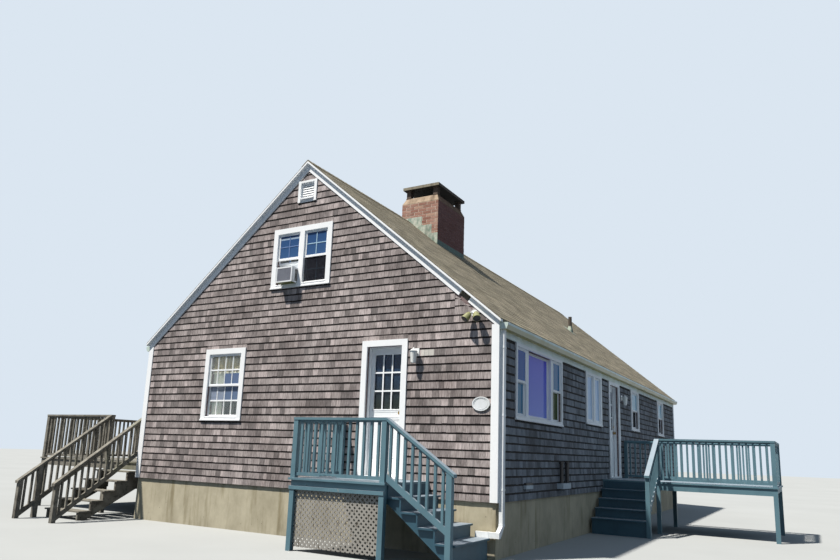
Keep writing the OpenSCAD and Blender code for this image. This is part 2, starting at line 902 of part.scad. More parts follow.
// A louvred vent drawn against a wall: casings at its sides and head, a sill that throws the water off, and a
// thin apron under it; the blades lap, so that nothing shows between them from below
module gable_vent() {
    outer = vent_w / 2 + vent_casing;
    apron_z = vent_z - vent_apron_h;
    difference() {
        box(-outer, outer, -casing_t, 0, apron_z, vent_z + vent_h + vent_head_casing);
        box(-vent_w / 2, vent_w / 2, -casing_t - 1, 1, apron_z - 1, vent_z + vent_h);
    }
    box(-vent_w / 2, vent_w / 2, -trim_t / 3, 0, apron_z, vent_z);
    box(-vent_w / 2, vent_w / 2, -casing_t - vent_sill_reach, 0, vent_z - vent_frame / 2,
        vent_z + vent_frame / 2);
    difference() {
        box(-vent_w / 2 + seat, vent_w / 2 - seat, 0, 60, vent_z + seat, vent_z + vent_h - seat);
        box(-vent_w / 2 + vent_frame, vent_w / 2 - vent_frame, -1, 61, vent_z + vent_frame,
            vent_z + vent_h - vent_frame);
    }
    pitch = (vent_h - 2 * vent_frame) / louvre_count;
    for (i = [0 : louvre_count - 1])
        translate([0, 4, vent_z + vent_frame + i * pitch])
            profile_yz([
                [0, 0],
                [louvre_t, 0],
                [louvre_depth + louvre_t, min(louvre_h, (louvre_count - i) * pitch + 1)],
                [louvre_depth, min(louvre_h, (louvre_count - i) * pitch + 1)]
            ], -vent_w / 2 + vent_frame - 1, vent_w / 2 - vent_frame + 1);
}

module gable_vents() color("white") place()
    for (wall = ["front", "rear"])
        on_wall(wall)
            gable_vent();

// The outside casing of a window, with its mullions; those of the three-part window are flush with the wall
module window_casing(w) {
    u0 = w[1] - window_w(w) / 2;
    u1 = w[1] + window_w(w) / 2;
    head = w[0] == "right" || w[0] == "left" ? side_head_casing - seat : casing_w;
    wide = len(w[4]) == 3;
    side = wide ? picture_casing_w : casing_w;
    difference() {
        box(u0 - side, u1 + side, -casing_t, 0, w[2] - window_bottom_casing, w[3] + head);
        for (i = [0 : len(w[4]) - 1])
            box(u0 + unit_start(w, i), wide ? u1 : u0 + unit_start(w, i) + w[4][i], -casing_t - 1, 1,
                w[2], w[3]);
    }
    if (len(w[4]) > 1)
        for (i = [1 : len(w[4]) - 1])
            box(u0 + unit_start(w, i) - mullion_w, u0 + unit_start(w, i), 0, wall_t - 20, w[2] + seat,
                w[3] - seat);
}

module window_casings() color("white") place()
    for (w = windows)
        on_wall(w[0])
            window_casing(w);

// One sash: a frame with square-edged stiles and rails
module sash(u0, u1, v, z0, z1) {
    difference() {
        box(u0, u1, v, v + sash_t, z0, z1);
        box(u0 + sash_w, u1 - sash_w, v - 1, v + sash_t + 1, z0 + sash_w, z1 - sash_w);
    }
}

module sash_glass(u0, u1, v, z0, z1) {
    box(u0 + sash_w + seat, u1 - sash_w - seat, v + pane_depth, v + pane_depth + glass_t, z0 + sash_w + seat,
        z1 - sash_w - seat);
}

// The sashes of one window; part 0 draws the frames and part 1 the glass
module window_fill(w, part) {
    u0 = w[1] - window_w(w) / 2;
    middle = (w[2] + w[3]) / 2;
    inner_v = sash_setback + sash_t + 2;
    for (i = [0 : len(w[4]) - 1]) {
        a = u0 + unit_start(w, i) + seat;
        b = u0 + unit_start(w, i) + w[4][i] - seat;
        fixed = !w[5] || (len(w[4]) == 3 && i == 1);
        raised = w[0] == "front" && len(w[4]) == 2 && i == 0;
        lift = raised ? raised_sash_lift : 0;
        if (fixed) {
            v = w[5] ? picture_setback : sash_setback;
            if (part == 0)
                sash(a, b, v, w[2] + seat, w[3] - seat);
            else
                sash_glass(a, b, v, w[2] + seat, w[3] - seat);
        } else {
            if (part == 0) {
                sash(a, b, sash_setback, middle - sash_w / 2, w[3] - seat);
                sash(a, b, inner_v, w[2] + seat + lift, middle + sash_w / 2 + lift);
            } else {
                sash_glass(a, b, sash_setback, middle - sash_w / 2, w[3] - seat);
                sash_glass(a, b, inner_v, w[2] + seat + lift, middle + sash_w / 2 + lift);
            }
        }
    }
}

module window_sashes() color("whitesmoke") place()
    for (w = windows)
        on_wall(w[0])
            window_fill(w, 0);

module window_glass() color("steelblue") place() {
    for (w = windows)
        on_wall(w[0])
            window_fill(w, 1);
    on_wall("left") {
        patio_leaf_glass(patio_door_y + seat, patio_middle + patio_lap, patio_v);
        patio_leaf_glass(patio_middle - patio_lap, patio_door_y + patio_door_w - seat,
            patio_v + patio_leaf_t + 2);
    }
}

// The casing, sill and stops of a doorway that starts at u and is w wide
module door_frame(u, w, head_casing) {
    difference() {
        box(u - casing_w, u + w + casing_w, -casing_t, 0, floor_z, door_head + head_casing);
        box(u, u + w, -casing_t - 1, 1, floor_z - 1, door_head);
    }
    box(u + seat, u + w - seat, -casing_t - 20, wall_t, floor_z, floor_z + sill_t);
    difference() {
        box(u + seat, u + w - seat, 40, wall_t - leaf_t - 8, floor_z + sill_t, door_head - seat);
        box(u + door_stop, u + w - door_stop, 39, wall_t, floor_z + sill_t - 1, door_head - door_stop);
    }
}

module door_frames() color("white") place() {
    on_wall("front")
        door_frame(gable_door_x, gable_door_w, casing_w);
    on_wall("right")
        door_frame(side_door_y, side_door_w, frieze_z - door_head - seat);
}

// A half-glazed leaf with two tall panels below, in a doorway that starts at u and is w wide
module door_leaf(u, w) {
    u0 = u + leaf_gap;
    u1 = u + w - leaf_gap;
    v0 = wall_t - leaf_t;
    top_rail = 105;
    glass_z1 = leaf_z + leaf_h - top_rail;
    glass_z0 = glass_z1 - leaf_glass_h;
    panel_z0 = leaf_z + leaf_bottom_rail;
    panel_z1 = glass_z0 - 150;
    panel_w = (u1 - u0 - 3 * stile_w) / 2;
    difference() {
        box(u0, u1, v0, wall_t, leaf_z, leaf_z + leaf_h);
        box(u0 + stile_w, u1 - stile_w, v0 - 1, wall_t + 1, glass_z0, glass_z1);
        for (i = [0, 1])
            for (v = [v0 - 1, wall_t - 11])
                box(u0 + stile_w + i * (panel_w + stile_w), u0 + stile_w + i * (panel_w + stile_w) + panel_w,
                    v, v + 12, panel_z0, panel_z1);
    }
}

module leaf_glass(u, w) {
    top_rail = 105;
    glass_z1 = leaf_z + leaf_h - top_rail;
    glass_z0 = glass_z1 - leaf_glass_h;
    v = wall_t - leaf_t / 2;
    box(u + leaf_gap + stile_w + seat, u + w - leaf_gap - stile_w - seat, v - glass_t / 2, v + glass_t / 2,
        glass_z0 + seat, glass_z1 - seat);
}

// A round knob on both faces of a leaf
module leaf_knobs(u) {
    for (side = [0, 1])
        translate([u, side ? wall_t + seat : wall_t - leaf_t - seat, knob_z])
            rotate([side ? -90 : 90, 0, 0]) {
                cylinder(h = 8, d = knob_d, $fn = 48);
                cylinder(h = 40, d = knob_d * 0.4, $fn = 32);
                translate([0, 0, 30])
                    cylinder(h = 24, d = knob_d, $fn = 48);
            }
}

// Half of each butt hinge of a doorway that starts at u: part 0 stays on the jamb, part 1 turns with the leaf
module butt_hinges(u, part) {
    knuckle = hinge_h / 3;
    axis_u = u + leaf_gap / 2;
    plate_t = leaf_gap / 2 - seat;
    for (z = [leaf_z + 180, leaf_z + leaf_h / 2, leaf_z + leaf_h - 180 - hinge_h])
        if (part == 0) {
            box(u + seat, u + plate_t, wall_t - hinge_plate_w, wall_t + hinge_offset, z, z + knuckle - seat);
            box(u + seat, u + plate_t, wall_t - hinge_plate_w, wall_t + hinge_offset,
                z + 2 * knuckle + seat, z + hinge_h);
            translate([axis_u, wall_t + hinge_offset, z])
                cylinder(h = knuckle - seat, d = hinge_d, $fn = 24);
            translate([axis_u, wall_t + hinge_offset, z + 2 * knuckle + seat])
                cylinder(h = knuckle - seat, d = hinge_d, $fn = 24);
        } else {
            box(u + leaf_gap - plate_t, u + leaf_gap - seat, wall_t - hinge_plate_w, wall_t + hinge_offset,
                z + knuckle, z + 2 * knuckle);
            translate([axis_u, wall_t + hinge_offset, z + knuckle])
                cylinder(h = knuckle, d = hinge_d, $fn = 24);
        }
}

module door_hinges() color("goldenrod") place() {
    on_wall("front")
        butt_hinges(gable_door_x, 0);
    on_wall("right")
        butt_hinges(side_door_y, 0);
}

module gable_door() color("white") place()
    on_wall("front")
        door_leaf(gable_door_x, gable_door_w);

module gable_door_glass() color("steelblue") place()
    on_wall("front")
        leaf_glass(gable_door_x, gable_door_w);

module gable_door_hardware() color("goldenrod") place()
    on_wall("front") {
        leaf_knobs(gable_door_x + gable_door_w - leaf_gap - knob_inset);
        butt_hinges(gable_door_x, 1);
    }

module side_door() color("white") place()
    on_wall("right")
        door_leaf(side_door_y, side_door_w);

module side_door_glass() color("steelblue") place()
    on_wall("right")
        leaf_glass(side_door_y, side_door_w);

module side_door_hardware() color("goldenrod") place()
    on_wall("right") {
        leaf_knobs(side_door_y + side_door_w - leaf_gap - knob_inset);
        butt_hinges(side_door_y, 1);
    }

// One glazed leaf of the patio door, between two places along the wall
module patio_leaf(u0, u1, v) {
    difference() {
        box(u0, u1, v, v + patio_leaf_t, patio_z - 1, door_head - seat);
        box(u0 + patio_stile, u1 - patio_stile, v - 1, v + patio_leaf_t + 1, patio_z + patio_stile,
            door_head - patio_stile);
    }
}

module patio_leaf_glass(u0, u1, v) {
    box(u0 + patio_stile + seat, u1 - patio_stile - seat, v + (patio_leaf_t - glass_t) / 2,
        v + (patio_leaf_t + glass_t) / 2, patio_z + patio_stile + seat, door_head - patio_stile - seat);
}

// Two glazed leaves in their frame, drawn as they stand closed
module patio_door() color("white") place()
    on_wall("left") {
        u0 = patio_door_y + seat;
        u1 = patio_door_y + patio_door_w - seat;
        box(u0, u1, -casing_t - deck_lip, wall_t, left_deck_z + seat, patio_z);
        difference() {
            box(u0 - casing_w, u1 + casing_w, -casing_t, 0, left_deck_z + seat, frieze_z - seat);
            box(u0, u1, -casing_t - 1, 1, left_deck_z, door_head - seat);
        }
        patio_leaf(u0, patio_middle + patio_lap, patio_v);
        patio_leaf(patio_middle - patio_lap, u1, patio_v + patio_leaf_t + 2);
    }

module air_conditioner() color("gainsboro") place() {
    x1 = upper_window_x - mullion_w / 2 - 4;
    x0 = x1 - cooler_w;
    z0 = upper_window_sill + seat;
    left = upper_window_x - mullion_w / 2 - upper_unit_w;
    difference() {
        box(x0, x1, -cooler_reach, cooler_inside, z0, z0 + cooler_h);
        box(x0 + 22, x1 - 22, -cooler_reach - 1, -cooler_reach + 9, z0 + 22, z0 + cooler_h - 26);
    }
    box(left + seat, x0, 60, 72, z0, upper_window_sill + raised_sash_lift - seat);
    box(x0, x1, 60, 72, z0 + cooler_h - 1, upper_window_sill + raised_sash_lift - seat);
}

// A lantern on a wall plate, drawn against a wall
module lantern(u, z) {
    box(u - 55, u + 55, -18, -seat, z + lantern_h - 120, z + lantern_h);
    box(u - 12, u + 12, -90, -17, z + lantern_h - 70, z + lantern_h - 46);
    translate([u, -90, z + 20])
        cylinder(h = lantern_h - 70, d1 = lantern_w * 0.6, d2 = lantern_w * 0.85, $fn = 32);
    translate([u, -90, z + lantern_h - 51])
        cylinder(h = 40, d1 = lantern_w, d2 = 20, $fn = 32);
}

module outdoor_lights() color("whitesmoke") place() {
    on_wall("front")
        lantern(gable_door_x + gable_door_w + lantern_gap, door_head - lantern_h - lantern_drop);
    on_wall("right")
        lantern(side_door_y + side_door_w + side_lantern_gap, door_head - lantern_h - 145);
    floodlight();
}

// Two lamp heads that hang from a round plate under the rake and face down and outward
module floodlight() {
    x = half_w - floodlight_inset;
    z = roof_top(x) - rake_bottom - floodlight_drop;
    translate([x, -seat, z])
        rotate([90, 0, 0])
            cylinder(h = 30, d = 100, $fn = 32);
    for (side = [-1, 1])
        translate([x, -25, z])
            rotate([90, 0, side * 40])
                cylinder(h = 62, d = 24, $fn = 24);
    for (side = [-1, 1])
        translate([x + side * 50, -74, z - 10])
            rotate([140, 0, side * 34]) {
                cylinder(h = 40, d1 = 60, d2 = 92, $fn = 32);
                translate([0, 0, 39])
                    cylinder(h = 84, d1 = 92, d2 = 116, $fn = 32);
            }
}

module house_plaque() color("white") place()
    translate([half_w - plaque_inset, -seat, floor_z + plaque_z])
        rotate([90, 0, 0])
            scale([1, plaque_h / plaque_w, 1])
                cylinder(h = 24, d = plaque_w, $fn = 64);

// A pair of capped pipes on their box, and a small cover, low on the side wall
module utility_fittings() color("gray") place() {
    for (i = [0, 1])
        translate([half_w + side_pipe_d, side_pipes_y + side_pipe_d + i * side_pipe_pitch, utility_z + 70]) {
            cylinder(h = side_pipe_h, d = side_pipe_d, $fn = 32);
            translate([0, 0, side_pipe_h - 40])
                cylinder(h = 40, d = side_pipe_d * 1.2, $fn = 32);
        }
    box(half_w + seat, half_w + side_pipe_d * 1.8, side_pipes_y,
        side_pipes_y + side_pipe_pitch + 2 * side_pipe_d, utility_z, utility_z + utility_h);
    box(half_w + seat, half_w + 50, cover_y, cover_y + cover_l, utility_z + 36, utility_z + 36 + utility_h);
}

// A railing panel that runs from the origin along X, level or sloped, with balusters between two rails and a
// flat handrail on top, which reaches past the panel by start and end to lie on the posts
module railing_panel(length, rise, height, gap = rail_gap, start = 0, end = 0) {
    run = length - 2 * seat;
    count = round(run / baluster_pitch);
    slope = rise / length;
    bar = rail_t * sqrt(1 + slope * slope);
    board = (rail_board - rail_t) * sqrt(1 + slope * slope);
    low = slope == 0 ? low_rail_h : slope_rail_h * sqrt(1 + slope * slope);
    pitch = run / count;
    cap_from = start > 0 ? -start : seat;
    cap_to = length + (end > 0 ? end : -seat);
    translate([cap_from, rail_w / 2, slope * cap_from])
        rotate([90, 0, 0])
            linear_extrude(rail_w)
                rail_outline(cap_to - cap_from, slope, height - bar, bar);
    translate([seat, baluster_w / 2, slope * seat])
        rotate([90, 0, 0])
            linear_extrude(baluster_w) {
                rail_outline(run, slope, height - bar - board, board + 1);
                rail_outline(run, slope, gap, low);
                for (i = [0 : count - 1])
                    translate([(i + 0.5) * pitch - baluster_w / 2, slope * ((i + 0.5) * pitch - baluster_w / 2)])
                        rail_outline(baluster_w, slope, gap + low / 2, height - gap - (bar + low) / 2);
            }
}

// A level or sloped bar of a railing, seen from the side
module rail_outline(run, slope, z, depth) {
    polygon([[0, z], [run, z + slope * run], [run, z + slope * run + depth], [0, z + depth]]);
}

// A square post with its near left corner at x and y
module post(x, y, z0, z1) {
    box(x, x + post_w, y, y + post_w, z0, z1);
}

// The top of a post under a level handrail
function post_top(z, height) = z + height - rail_t - seat;

// A post from the ground to the underside of a sloping handrail, drawn like a railing panel and a way along it
module newel(along, slope, height, ground) {
    under = height - rail_t * sqrt(1 + slope * slope) - seat;
    translate([along, post_w / 2, 0])
        rotate([90, 0, 0])
            linear_extrude(post_w)
                polygon([[0, -ground], [post_w, -ground], [post_w, under + slope * (along + post_w)],
                    [0, under + slope * along]]);
}

// A flight that comes down along X from under the rim of a platform, hung below hang_z: treads on a saw-tooth
// stringer at each side, and where it is closed riser boards, the first one over the rim of the platform
module flight(count, run, rise, width, top_z, hang_z, closed) {
    foot = top_z - count * rise - board_t - seat;
    front = closed ? nosing : nosing / 2;
    board = closed ? riser_t : 0;
    drop = closed ? closed_stringer_drop : stringer_drop;
    toe = count * run - front - board - (closed ? closed_stringer_foot : stringer_foot);
    for (i = [1 : count]) {
        back = i > 1 ? front + board : 0;
        box((i - 1) * run - back, i * run, 0, width, top_z - i * rise - board_t, top_z - i * rise);
    }
    if (closed) {
        box(0, riser_t, 0, width, top_z - rise + seat, top_z - board_t - seat);
        for (i = [1 : count])
            box(i * run - front - board, i * run - front, 0, width,
                i < count ? top_z - (i + 1) * rise + seat : 0, top_z - i * rise - board_t - seat);
    }
    for (y = [stringer_inset, width - stringer_inset - joist_t])
        translate([0, y, 0])
            profile_xz(concat(
                [
                    [-joist_t, hang_z],
                    [0, hang_z],
                    [0, top_z - rise - board_t - seat]
                ],
                [for (i = [1 : count - 1]) each [
                    [i * run - front - board - seat, top_z - i * rise - board_t - seat],
                    [i * run - front - board - seat, top_z - (i + 1) * rise - board_t - seat]
                ]],
                [
                    [count * run - front - board - seat, foot],
                    [count * run - front - board - seat, 0],
                    [toe, 0],
                    [0, top_z - rise - drop],
                    [-joist_t, top_z - rise - drop]
                ]), 0, joist_t);
}

module stoop_platform() color("cadetblue") place() {
    x1 = stoop_x1 - deck_lip;
    y0 = -stoop_d + rim_inset;
    z0 = stoop_z - board_t - rim_h;
    z1 = stoop_z - board_t - seat;
    box(stoop_x - deck_lip, stoop_x1, -stoop_d - deck_lip, -seat, stoop_z - board_t, stoop_z);
    box(stoop_x, x1, y0, y0 + joist_t, z0, z1);
    box(stoop_x, x1, -seat - joist_t, -seat, z0, z1);
    for (x = [stoop_x, (stoop_x + x1 - joist_t) / 2, x1 - joist_t])
        box(x, x + joist_t, y0 + joist_t + seat, -2 * seat - joist_t, z0, z1);
    box(stoop_x - 10, x1, -stoop_d - 10, -stoop_d + post_w, stoop_z - platform_h, z0 - seat);
}

module stoop_posts() color("cadetblue") place() {
    for (x = [stoop_x, stoop_x1 - post_w - deck_lip])
        post(x, -stoop_d, 0, stoop_z - platform_h - seat);
}

// The splintered underside of the bottom rail, near the middle of the front panel
module broken_edge() {
    translate([stoop_w * 0.26, rail_w, rail_gap - 1])
        rotate([90, 0, 0])
            linear_extrude(2 * rail_w)
                polygon([[0, 0], [14, 21], [60, 9], [88, 24], [130, 12], [171, 25], [214, 10], [262, 19], [290, 0]]);
}

module stoop_railing() color("cadetblue") place() {
    y_mid = -stoop_d + post_w / 2;
    corner_x = stoop_x1 - post_w - deck_lip;
    end_x = stoop_x1 + stoop_treads * step_run - post_w - stoop_newel_inset;
    run = end_x - corner_x - post_w;
    top = post_top(stoop_z, railing_h);
    post(stoop_x, -stoop_d, stoop_z + seat, top);
    post(corner_x, -stoop_d, stoop_z + seat, top);
    post(stoop_x, -post_w - casing_t, stoop_z + seat, top);
    translate([stoop_x + post_w, y_mid, stoop_z])
        difference() {
            railing_panel(corner_x - stoop_x - post_w, 0, railing_h, start = post_w, end = post_w);
            broken_edge();
        }
    translate([corner_x + post_w, y_mid, stoop_z]) {
        railing_panel(run, -run * stair_drop, railing_h, end = post_w + rail_end);
        newel(run, -stair_drop, railing_h, stoop_z);
    }
    translate([stoop_x + post_w / 2, -stoop_d + post_w, stoop_z])
        rotate([0, 0, 90])
            railing_panel(stoop_d - 2 * post_w - casing_t, 0, railing_h, end = post_w);
}

module stoop_steps() color("cadetblue") place()
    translate([stoop_x1 - deck_lip + seat, -stoop_d + post_w + seat, 0])
        flight(stoop_treads, step_run, step_rise, stoop_steps_w, stoop_z,
            stoop_z - board_t - rim_h - seat, true);

// Crossed strips inside a rectangle
module lattice_panel(w, h) {
    linear_extrude(lattice_t)
        intersection() {
            square([w, h]);
            union()
                for (turn = [45, -45])
                    translate([w / 2, h / 2])
                        rotate(turn)
                            for (i = [-ceil((w + h) / 2 / lattice_pitch) : ceil((w + h) / 2 / lattice_pitch)])
                                translate([i * lattice_pitch - lattice_strip / 2, -w])
                                    square([lattice_strip, 2 * w]);
        }
}

module stoop_lattice() color("silver") place()
    translate([stoop_x + post_w + seat, -stoop_d + lattice_inset, lattice_z])
        rotate([90, 0, 0])
            lattice_panel(stoop_w - 2 * post_w - deck_lip - 2 * seat,
                stoop_z - platform_h - seat - lattice_z);

// A platform of boards on joists and two beams; the boards reach past the rim on every side but the wall's
module deck_platform(wall_x, out_x, y0, y1, z) {
    w = abs(out_x - wall_x);
    bays = 4;
    joist_z = z - board_t - rim_h;
    translate([wall_x, 0, 0])
        mirror([out_x > wall_x ? 0 : 1, 0, 0]) {
            box(0, w + deck_lip, y0 - deck_lip, y1 + deck_lip, z - board_t, z);
            for (y = [y0, y1 - joist_t])
                box(0, w, y, y + joist_t, joist_z, z - board_t - seat);
            for (i = [0 : bays])
                translate([i * (w - joist_t) / bays, 0, 0])
                    box(0, joist_t, y0 + joist_t + seat, y1 - joist_t - seat, joist_z, z - board_t - seat);
            for (y = [y0, y1 - post_w])
                box(0, w, y, y + post_w, z - platform_h, joist_z - seat);
        }
}

module side_deck() color("cadetblue") place()
    deck_platform(side_deck_x + seat, side_deck_x1, side_deck_y, side_deck_y1, side_deck_z);

module side_deck_posts() color("cadetblue") place()
    for (x = [side_stair_x + stringer_inset + 2 * joist_t, side_stair_x + side_stair_w, side_deck_x1 - post_w])
        for (y = [side_deck_y, side_deck_y1 - post_w])
            post(x, y, 0, side_deck_z - platform_h - seat);

module side_deck_railing() color("cadetblue") place() {
    z = side_deck_z;
    top = post_top(z, railing_h);
    stair_x = side_stair_x + side_stair_w;
    far_x = side_deck_x1 - post_w;
    near_x = side_deck_x + casing_t;
    back_y = side_deck_y1 - post_w;
    run = side_treads * step_run - post_w;
    post(stair_x, side_deck_y, z + seat, top);
    post(far_x, side_deck_y, z + seat, top);
    post(near_x, back_y, z + seat, top);
    post(far_x, back_y, z + seat, top);
    translate([stair_x + post_w, side_deck_y + post_w / 2, z])
        railing_panel(far_x - stair_x - post_w, 0, railing_h, start = post_w, end = post_w);
    translate([near_x + post_w, back_y + post_w / 2, z])
        railing_panel(far_x - near_x - post_w, 0, railing_h, start = post_w, end = post_w);
    translate([far_x + post_w / 2, side_deck_y + post_w, z])
        rotate([0, 0, 90])
            railing_panel(side_deck_l - 2 * post_w, 0, railing_h);
    translate([stair_x + post_w / 2, side_deck_y, z])
        rotate([0, 0, -90]) {
            railing_panel(run, -run * stair_drop, railing_h, end = post_w + rail_end);
            newel(run, -stair_drop, railing_h, z);
        }
}

module side_deck_steps() color("cadetblue") place()
    translate([side_stair_x, side_deck_y - seat, 0])
        rotate([0, 0, -90])
            flight(side_treads, step_run, step_rise, side_stair_w - seat, side_deck_z,
                side_deck_z - platform_h - seat, true);

module left_deck() color("gray") place()
    deck_platform(left_deck_x - seat, left_deck_x1, left_deck_y, left_deck_y1, left_deck_z);

module left_deck_posts() color("gray") place()
    for (x = [left_deck_x1, left_stair_x0 - post_w, left_stair_x1])
        for (y = [left_deck_y, left_deck_y1 - post_w])
            post(x, y, 0, left_deck_z - platform_h - seat);

module left_deck_railing() color("dimgray") place() {
    z = left_deck_z;
    top = post_top(z, left_railing_h);
    stair_x = left_stair_x0 - post_w;
    wall_x = left_deck_x - casing_t - post_w;
    back_y = left_deck_y1 - post_w;
    slope = step_rise / left_step_run;
    run = left_deck_y - left_newel_y - post_w;
    post(left_deck_x1, left_deck_y, z + seat, top);
    post(stair_x, left_deck_y, z + seat, top);
    post(left_stair_x1, left_deck_y, z + seat, top);
    post(left_deck_x1, back_y, z + seat, top);
    post(wall_x, back_y, z + seat, top);
    translate([left_deck_x1 + post_w, left_deck_y + post_w / 2, z])
        railing_panel(stair_x - left_deck_x1 - post_w, 0, left_railing_h, start = post_w, end = post_w);
    translate([left_deck_x1 + post_w, back_y + post_w / 2, z])
        railing_panel(wall_x - left_deck_x1 - post_w, 0, left_railing_h, start = post_w, end = post_w);
    translate([left_deck_x1 + post_w / 2, left_deck_y + post_w, z])
        rotate([0, 0, 90])
            railing_panel(left_deck_l - 2 * post_w, 0, left_railing_h);
    for (x = [stair_x, left_stair_x1])
        translate([x + post_w / 2, left_deck_y, z])
            rotate([0, 0, -90]) {
                railing_panel(run, -run * slope, left_railing_h, left_stair_rail_gap, end = post_w + rail_end);
                newel(run, -slope, left_railing_h, z);
                if (x == stair_x)
                    newel(run - mid_post_gap - post_w, -slope, left_railing_h, z);
            }
}

module left_deck_steps() color("dimgray") place()
    translate([left_stair_x0 + seat, left_deck_y - seat, 0])
        rotate([0, 0, -90])
            flight(left_treads, left_step_run, step_rise, left_stair_w - 2 * seat, left_deck_z,
                left_deck_z - platform_h - seat, false);

foundation();
main_floor();
upper_floor();
front_wall_left();
front_wall_right();
front_gable();
door_headers();
right_wall_front();
right_wall_rear();
left_wall();
rear_wall();
roof_left();
roof_right();
ridge_cap();
corner_boards();
rake_boards();
frieze_boards();
gutters();
downspouts();
chimney();
chimney_wash();
chimney_cap();
chimney_flashing();
vent_pipe();
gable_vents();
window_casings();
window_sashes();
window_glass();
door_frames();
door_hinges();
gable_door();
gable_door_glass();
gable_door_hardware();
side_door();
side_door_glass();
side_door_hardware();
patio_door();
air_conditioner();
outdoor_lights();
house_plaque();
utility_fittings();
stoop_platform();
stoop_posts();
stoop_railing();
stoop_steps();
stoop_lattice();
side_deck();
side_deck_posts();
side_deck_railing();
side_deck_steps();
left_deck();
left_deck_posts();
left_deck_railing();
left_deck_steps();
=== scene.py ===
"""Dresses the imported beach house: shingles, bricks, window bars, curtains, fittings, finishes and the stage."""

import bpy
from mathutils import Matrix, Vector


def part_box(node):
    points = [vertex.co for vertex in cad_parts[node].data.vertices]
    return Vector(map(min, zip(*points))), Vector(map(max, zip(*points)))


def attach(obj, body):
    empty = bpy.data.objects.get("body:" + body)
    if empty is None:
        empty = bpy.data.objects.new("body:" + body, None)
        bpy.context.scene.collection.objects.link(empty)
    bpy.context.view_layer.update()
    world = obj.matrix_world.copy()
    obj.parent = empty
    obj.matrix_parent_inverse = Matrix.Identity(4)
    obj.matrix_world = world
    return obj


bl_info = {
    "name": "Beach House",
    "version": (1, 0, 0),
    "blender": (4, 5, 0),
    "location": "3D View > Sidebar > Beach House",
    "description": "Lays shingles and bricks on a timber beach house and finishes its trim, windows and decks",
    "category": "Object",
}

import math

import bmesh
import bpy
import numpy as np
from bpy.props import FloatProperty, FloatVectorProperty, IntProperty, PointerProperty
from bpy.types import Operator, Panel, PropertyGroup
from mathutils import Matrix, Vector

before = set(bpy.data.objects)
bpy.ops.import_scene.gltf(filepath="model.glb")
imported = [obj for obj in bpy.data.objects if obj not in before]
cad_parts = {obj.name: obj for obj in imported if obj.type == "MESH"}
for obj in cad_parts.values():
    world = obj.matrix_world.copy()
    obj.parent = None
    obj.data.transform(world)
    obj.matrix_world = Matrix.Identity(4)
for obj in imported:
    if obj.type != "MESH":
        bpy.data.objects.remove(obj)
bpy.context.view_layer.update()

# The house's own millimetres: X from the middle of the gable, Y back from the gable wall, Z up from the ground
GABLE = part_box("front_gable")
SHIFT = Vector(((GABLE[0][0] + GABLE[1][0]) / 2, GABLE[0][1], 0.0))
HALF_W = (GABLE[1][0] - GABLE[0][0]) * 500
LENGTH = (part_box("rear_wall")[1][1] - GABLE[0][1]) * 1000
WALL, WALL_BASE, FLOOR, FRIEZE = 150, 750, 980, 3034
PITCH = 0.8333
RIDGE = 3316.5 + PITCH * HALF_W
EAVE_X = HALF_W + 63
RAKE_REACH, RAKE_BAND = 72, 181
# The stack: from and to along X, then along Y; and the foot of its wash
CHIMNEY = (-170, 733, 3423, 4703)
WASH = RIDGE + 384
# Piers of the chimney: how far in from the wash's edge, and how wide, in metres
PIER_INSET, PIER_W = 0.065, 0.105
# The door openings, from and to along their walls
GABLE_DOOR, SIDE_DOOR, PATIO_DOOR = (1430, 2065), (6070, 6810), (1300, 3080)
DOOR_HEAD = 2965
# The door leaves: foot, top (6 mm short of the solids), thickness, gap, stile, top rail and height of the glass
LEAF_Z, LEAF_TOP, LEAF_T, LEAF_GAP, STILE, TOP_RAIL, DOOR_GLASS = 1016, 2955, 45, 6, 72, 105, 850
CASING, NARROW_CASING, CORNER = 95, 55, 93
SETBACK, MIDDLE_SETBACK, SASH_T, SASH_W, MULLION = 0, 55, 32, 32, 100
RAISED_SASH = 370
# Back of the gutters and the downspout, just clear of the trim under the eaves
GUTTER_BACK = HALF_W + 22.3
GUTTER_W = 122
LANTERNS = (("front", 2310, 2665), ("right", 7130, 2580))
# The floodlight: its middle, drop under the rake board and reach, and how far its heads turn and tilt, in degrees
FLOOD_X, FLOOD_DROP, FLOOD_REACH, FLOOD_TURN, FLOOD_TILT = HALF_W - 371, 70, 74, 34, 140
COOLER_W, COOLER_Z = 345, 4140.3
VENT_PIPE = (2050, 8450)
UP = (0, 0, 1)
# Where the course lines of the walls lie: from, to, and the courses between; then every line's height
COURSES = ((742, 857, 1), (857, 1669, 7), (1669, 2547, 7), (2547, 3147, 5), (3147, 4883, 15), (4883, 5507, 5),
           (5507, 6354, 7))
LINES = [low + (high - low) * i / count for low, high, count in COURSES for i in range(count)] + [COURSES[-1][1]]
# The bare strip under the missing piece of the right rake board: from, to, its depth under the roof, its course
BARE_STRIP, BARE_COURSE = (2940, 3225, 225), 22


class Window:
    """One window: wall, middle, sill, head, unit widths, sashes that slide, columns and rows of lights in a sash."""

    def __init__(self, wall, u, sill, head, units, slides=True, lights=(1, 1)):
        self.wall, self.u, self.sill, self.head, self.slides, self.lights = wall, u, sill, head, slides, lights
        self.half = (sum(units) + MULLION * (len(units) - 1)) / 2
        self.casing = NARROW_CASING if len(units) == 3 else CASING
        self.units = []
        left = u - self.half
        for width in units:
            self.units.append((left, left + width))
            left += width + MULLION


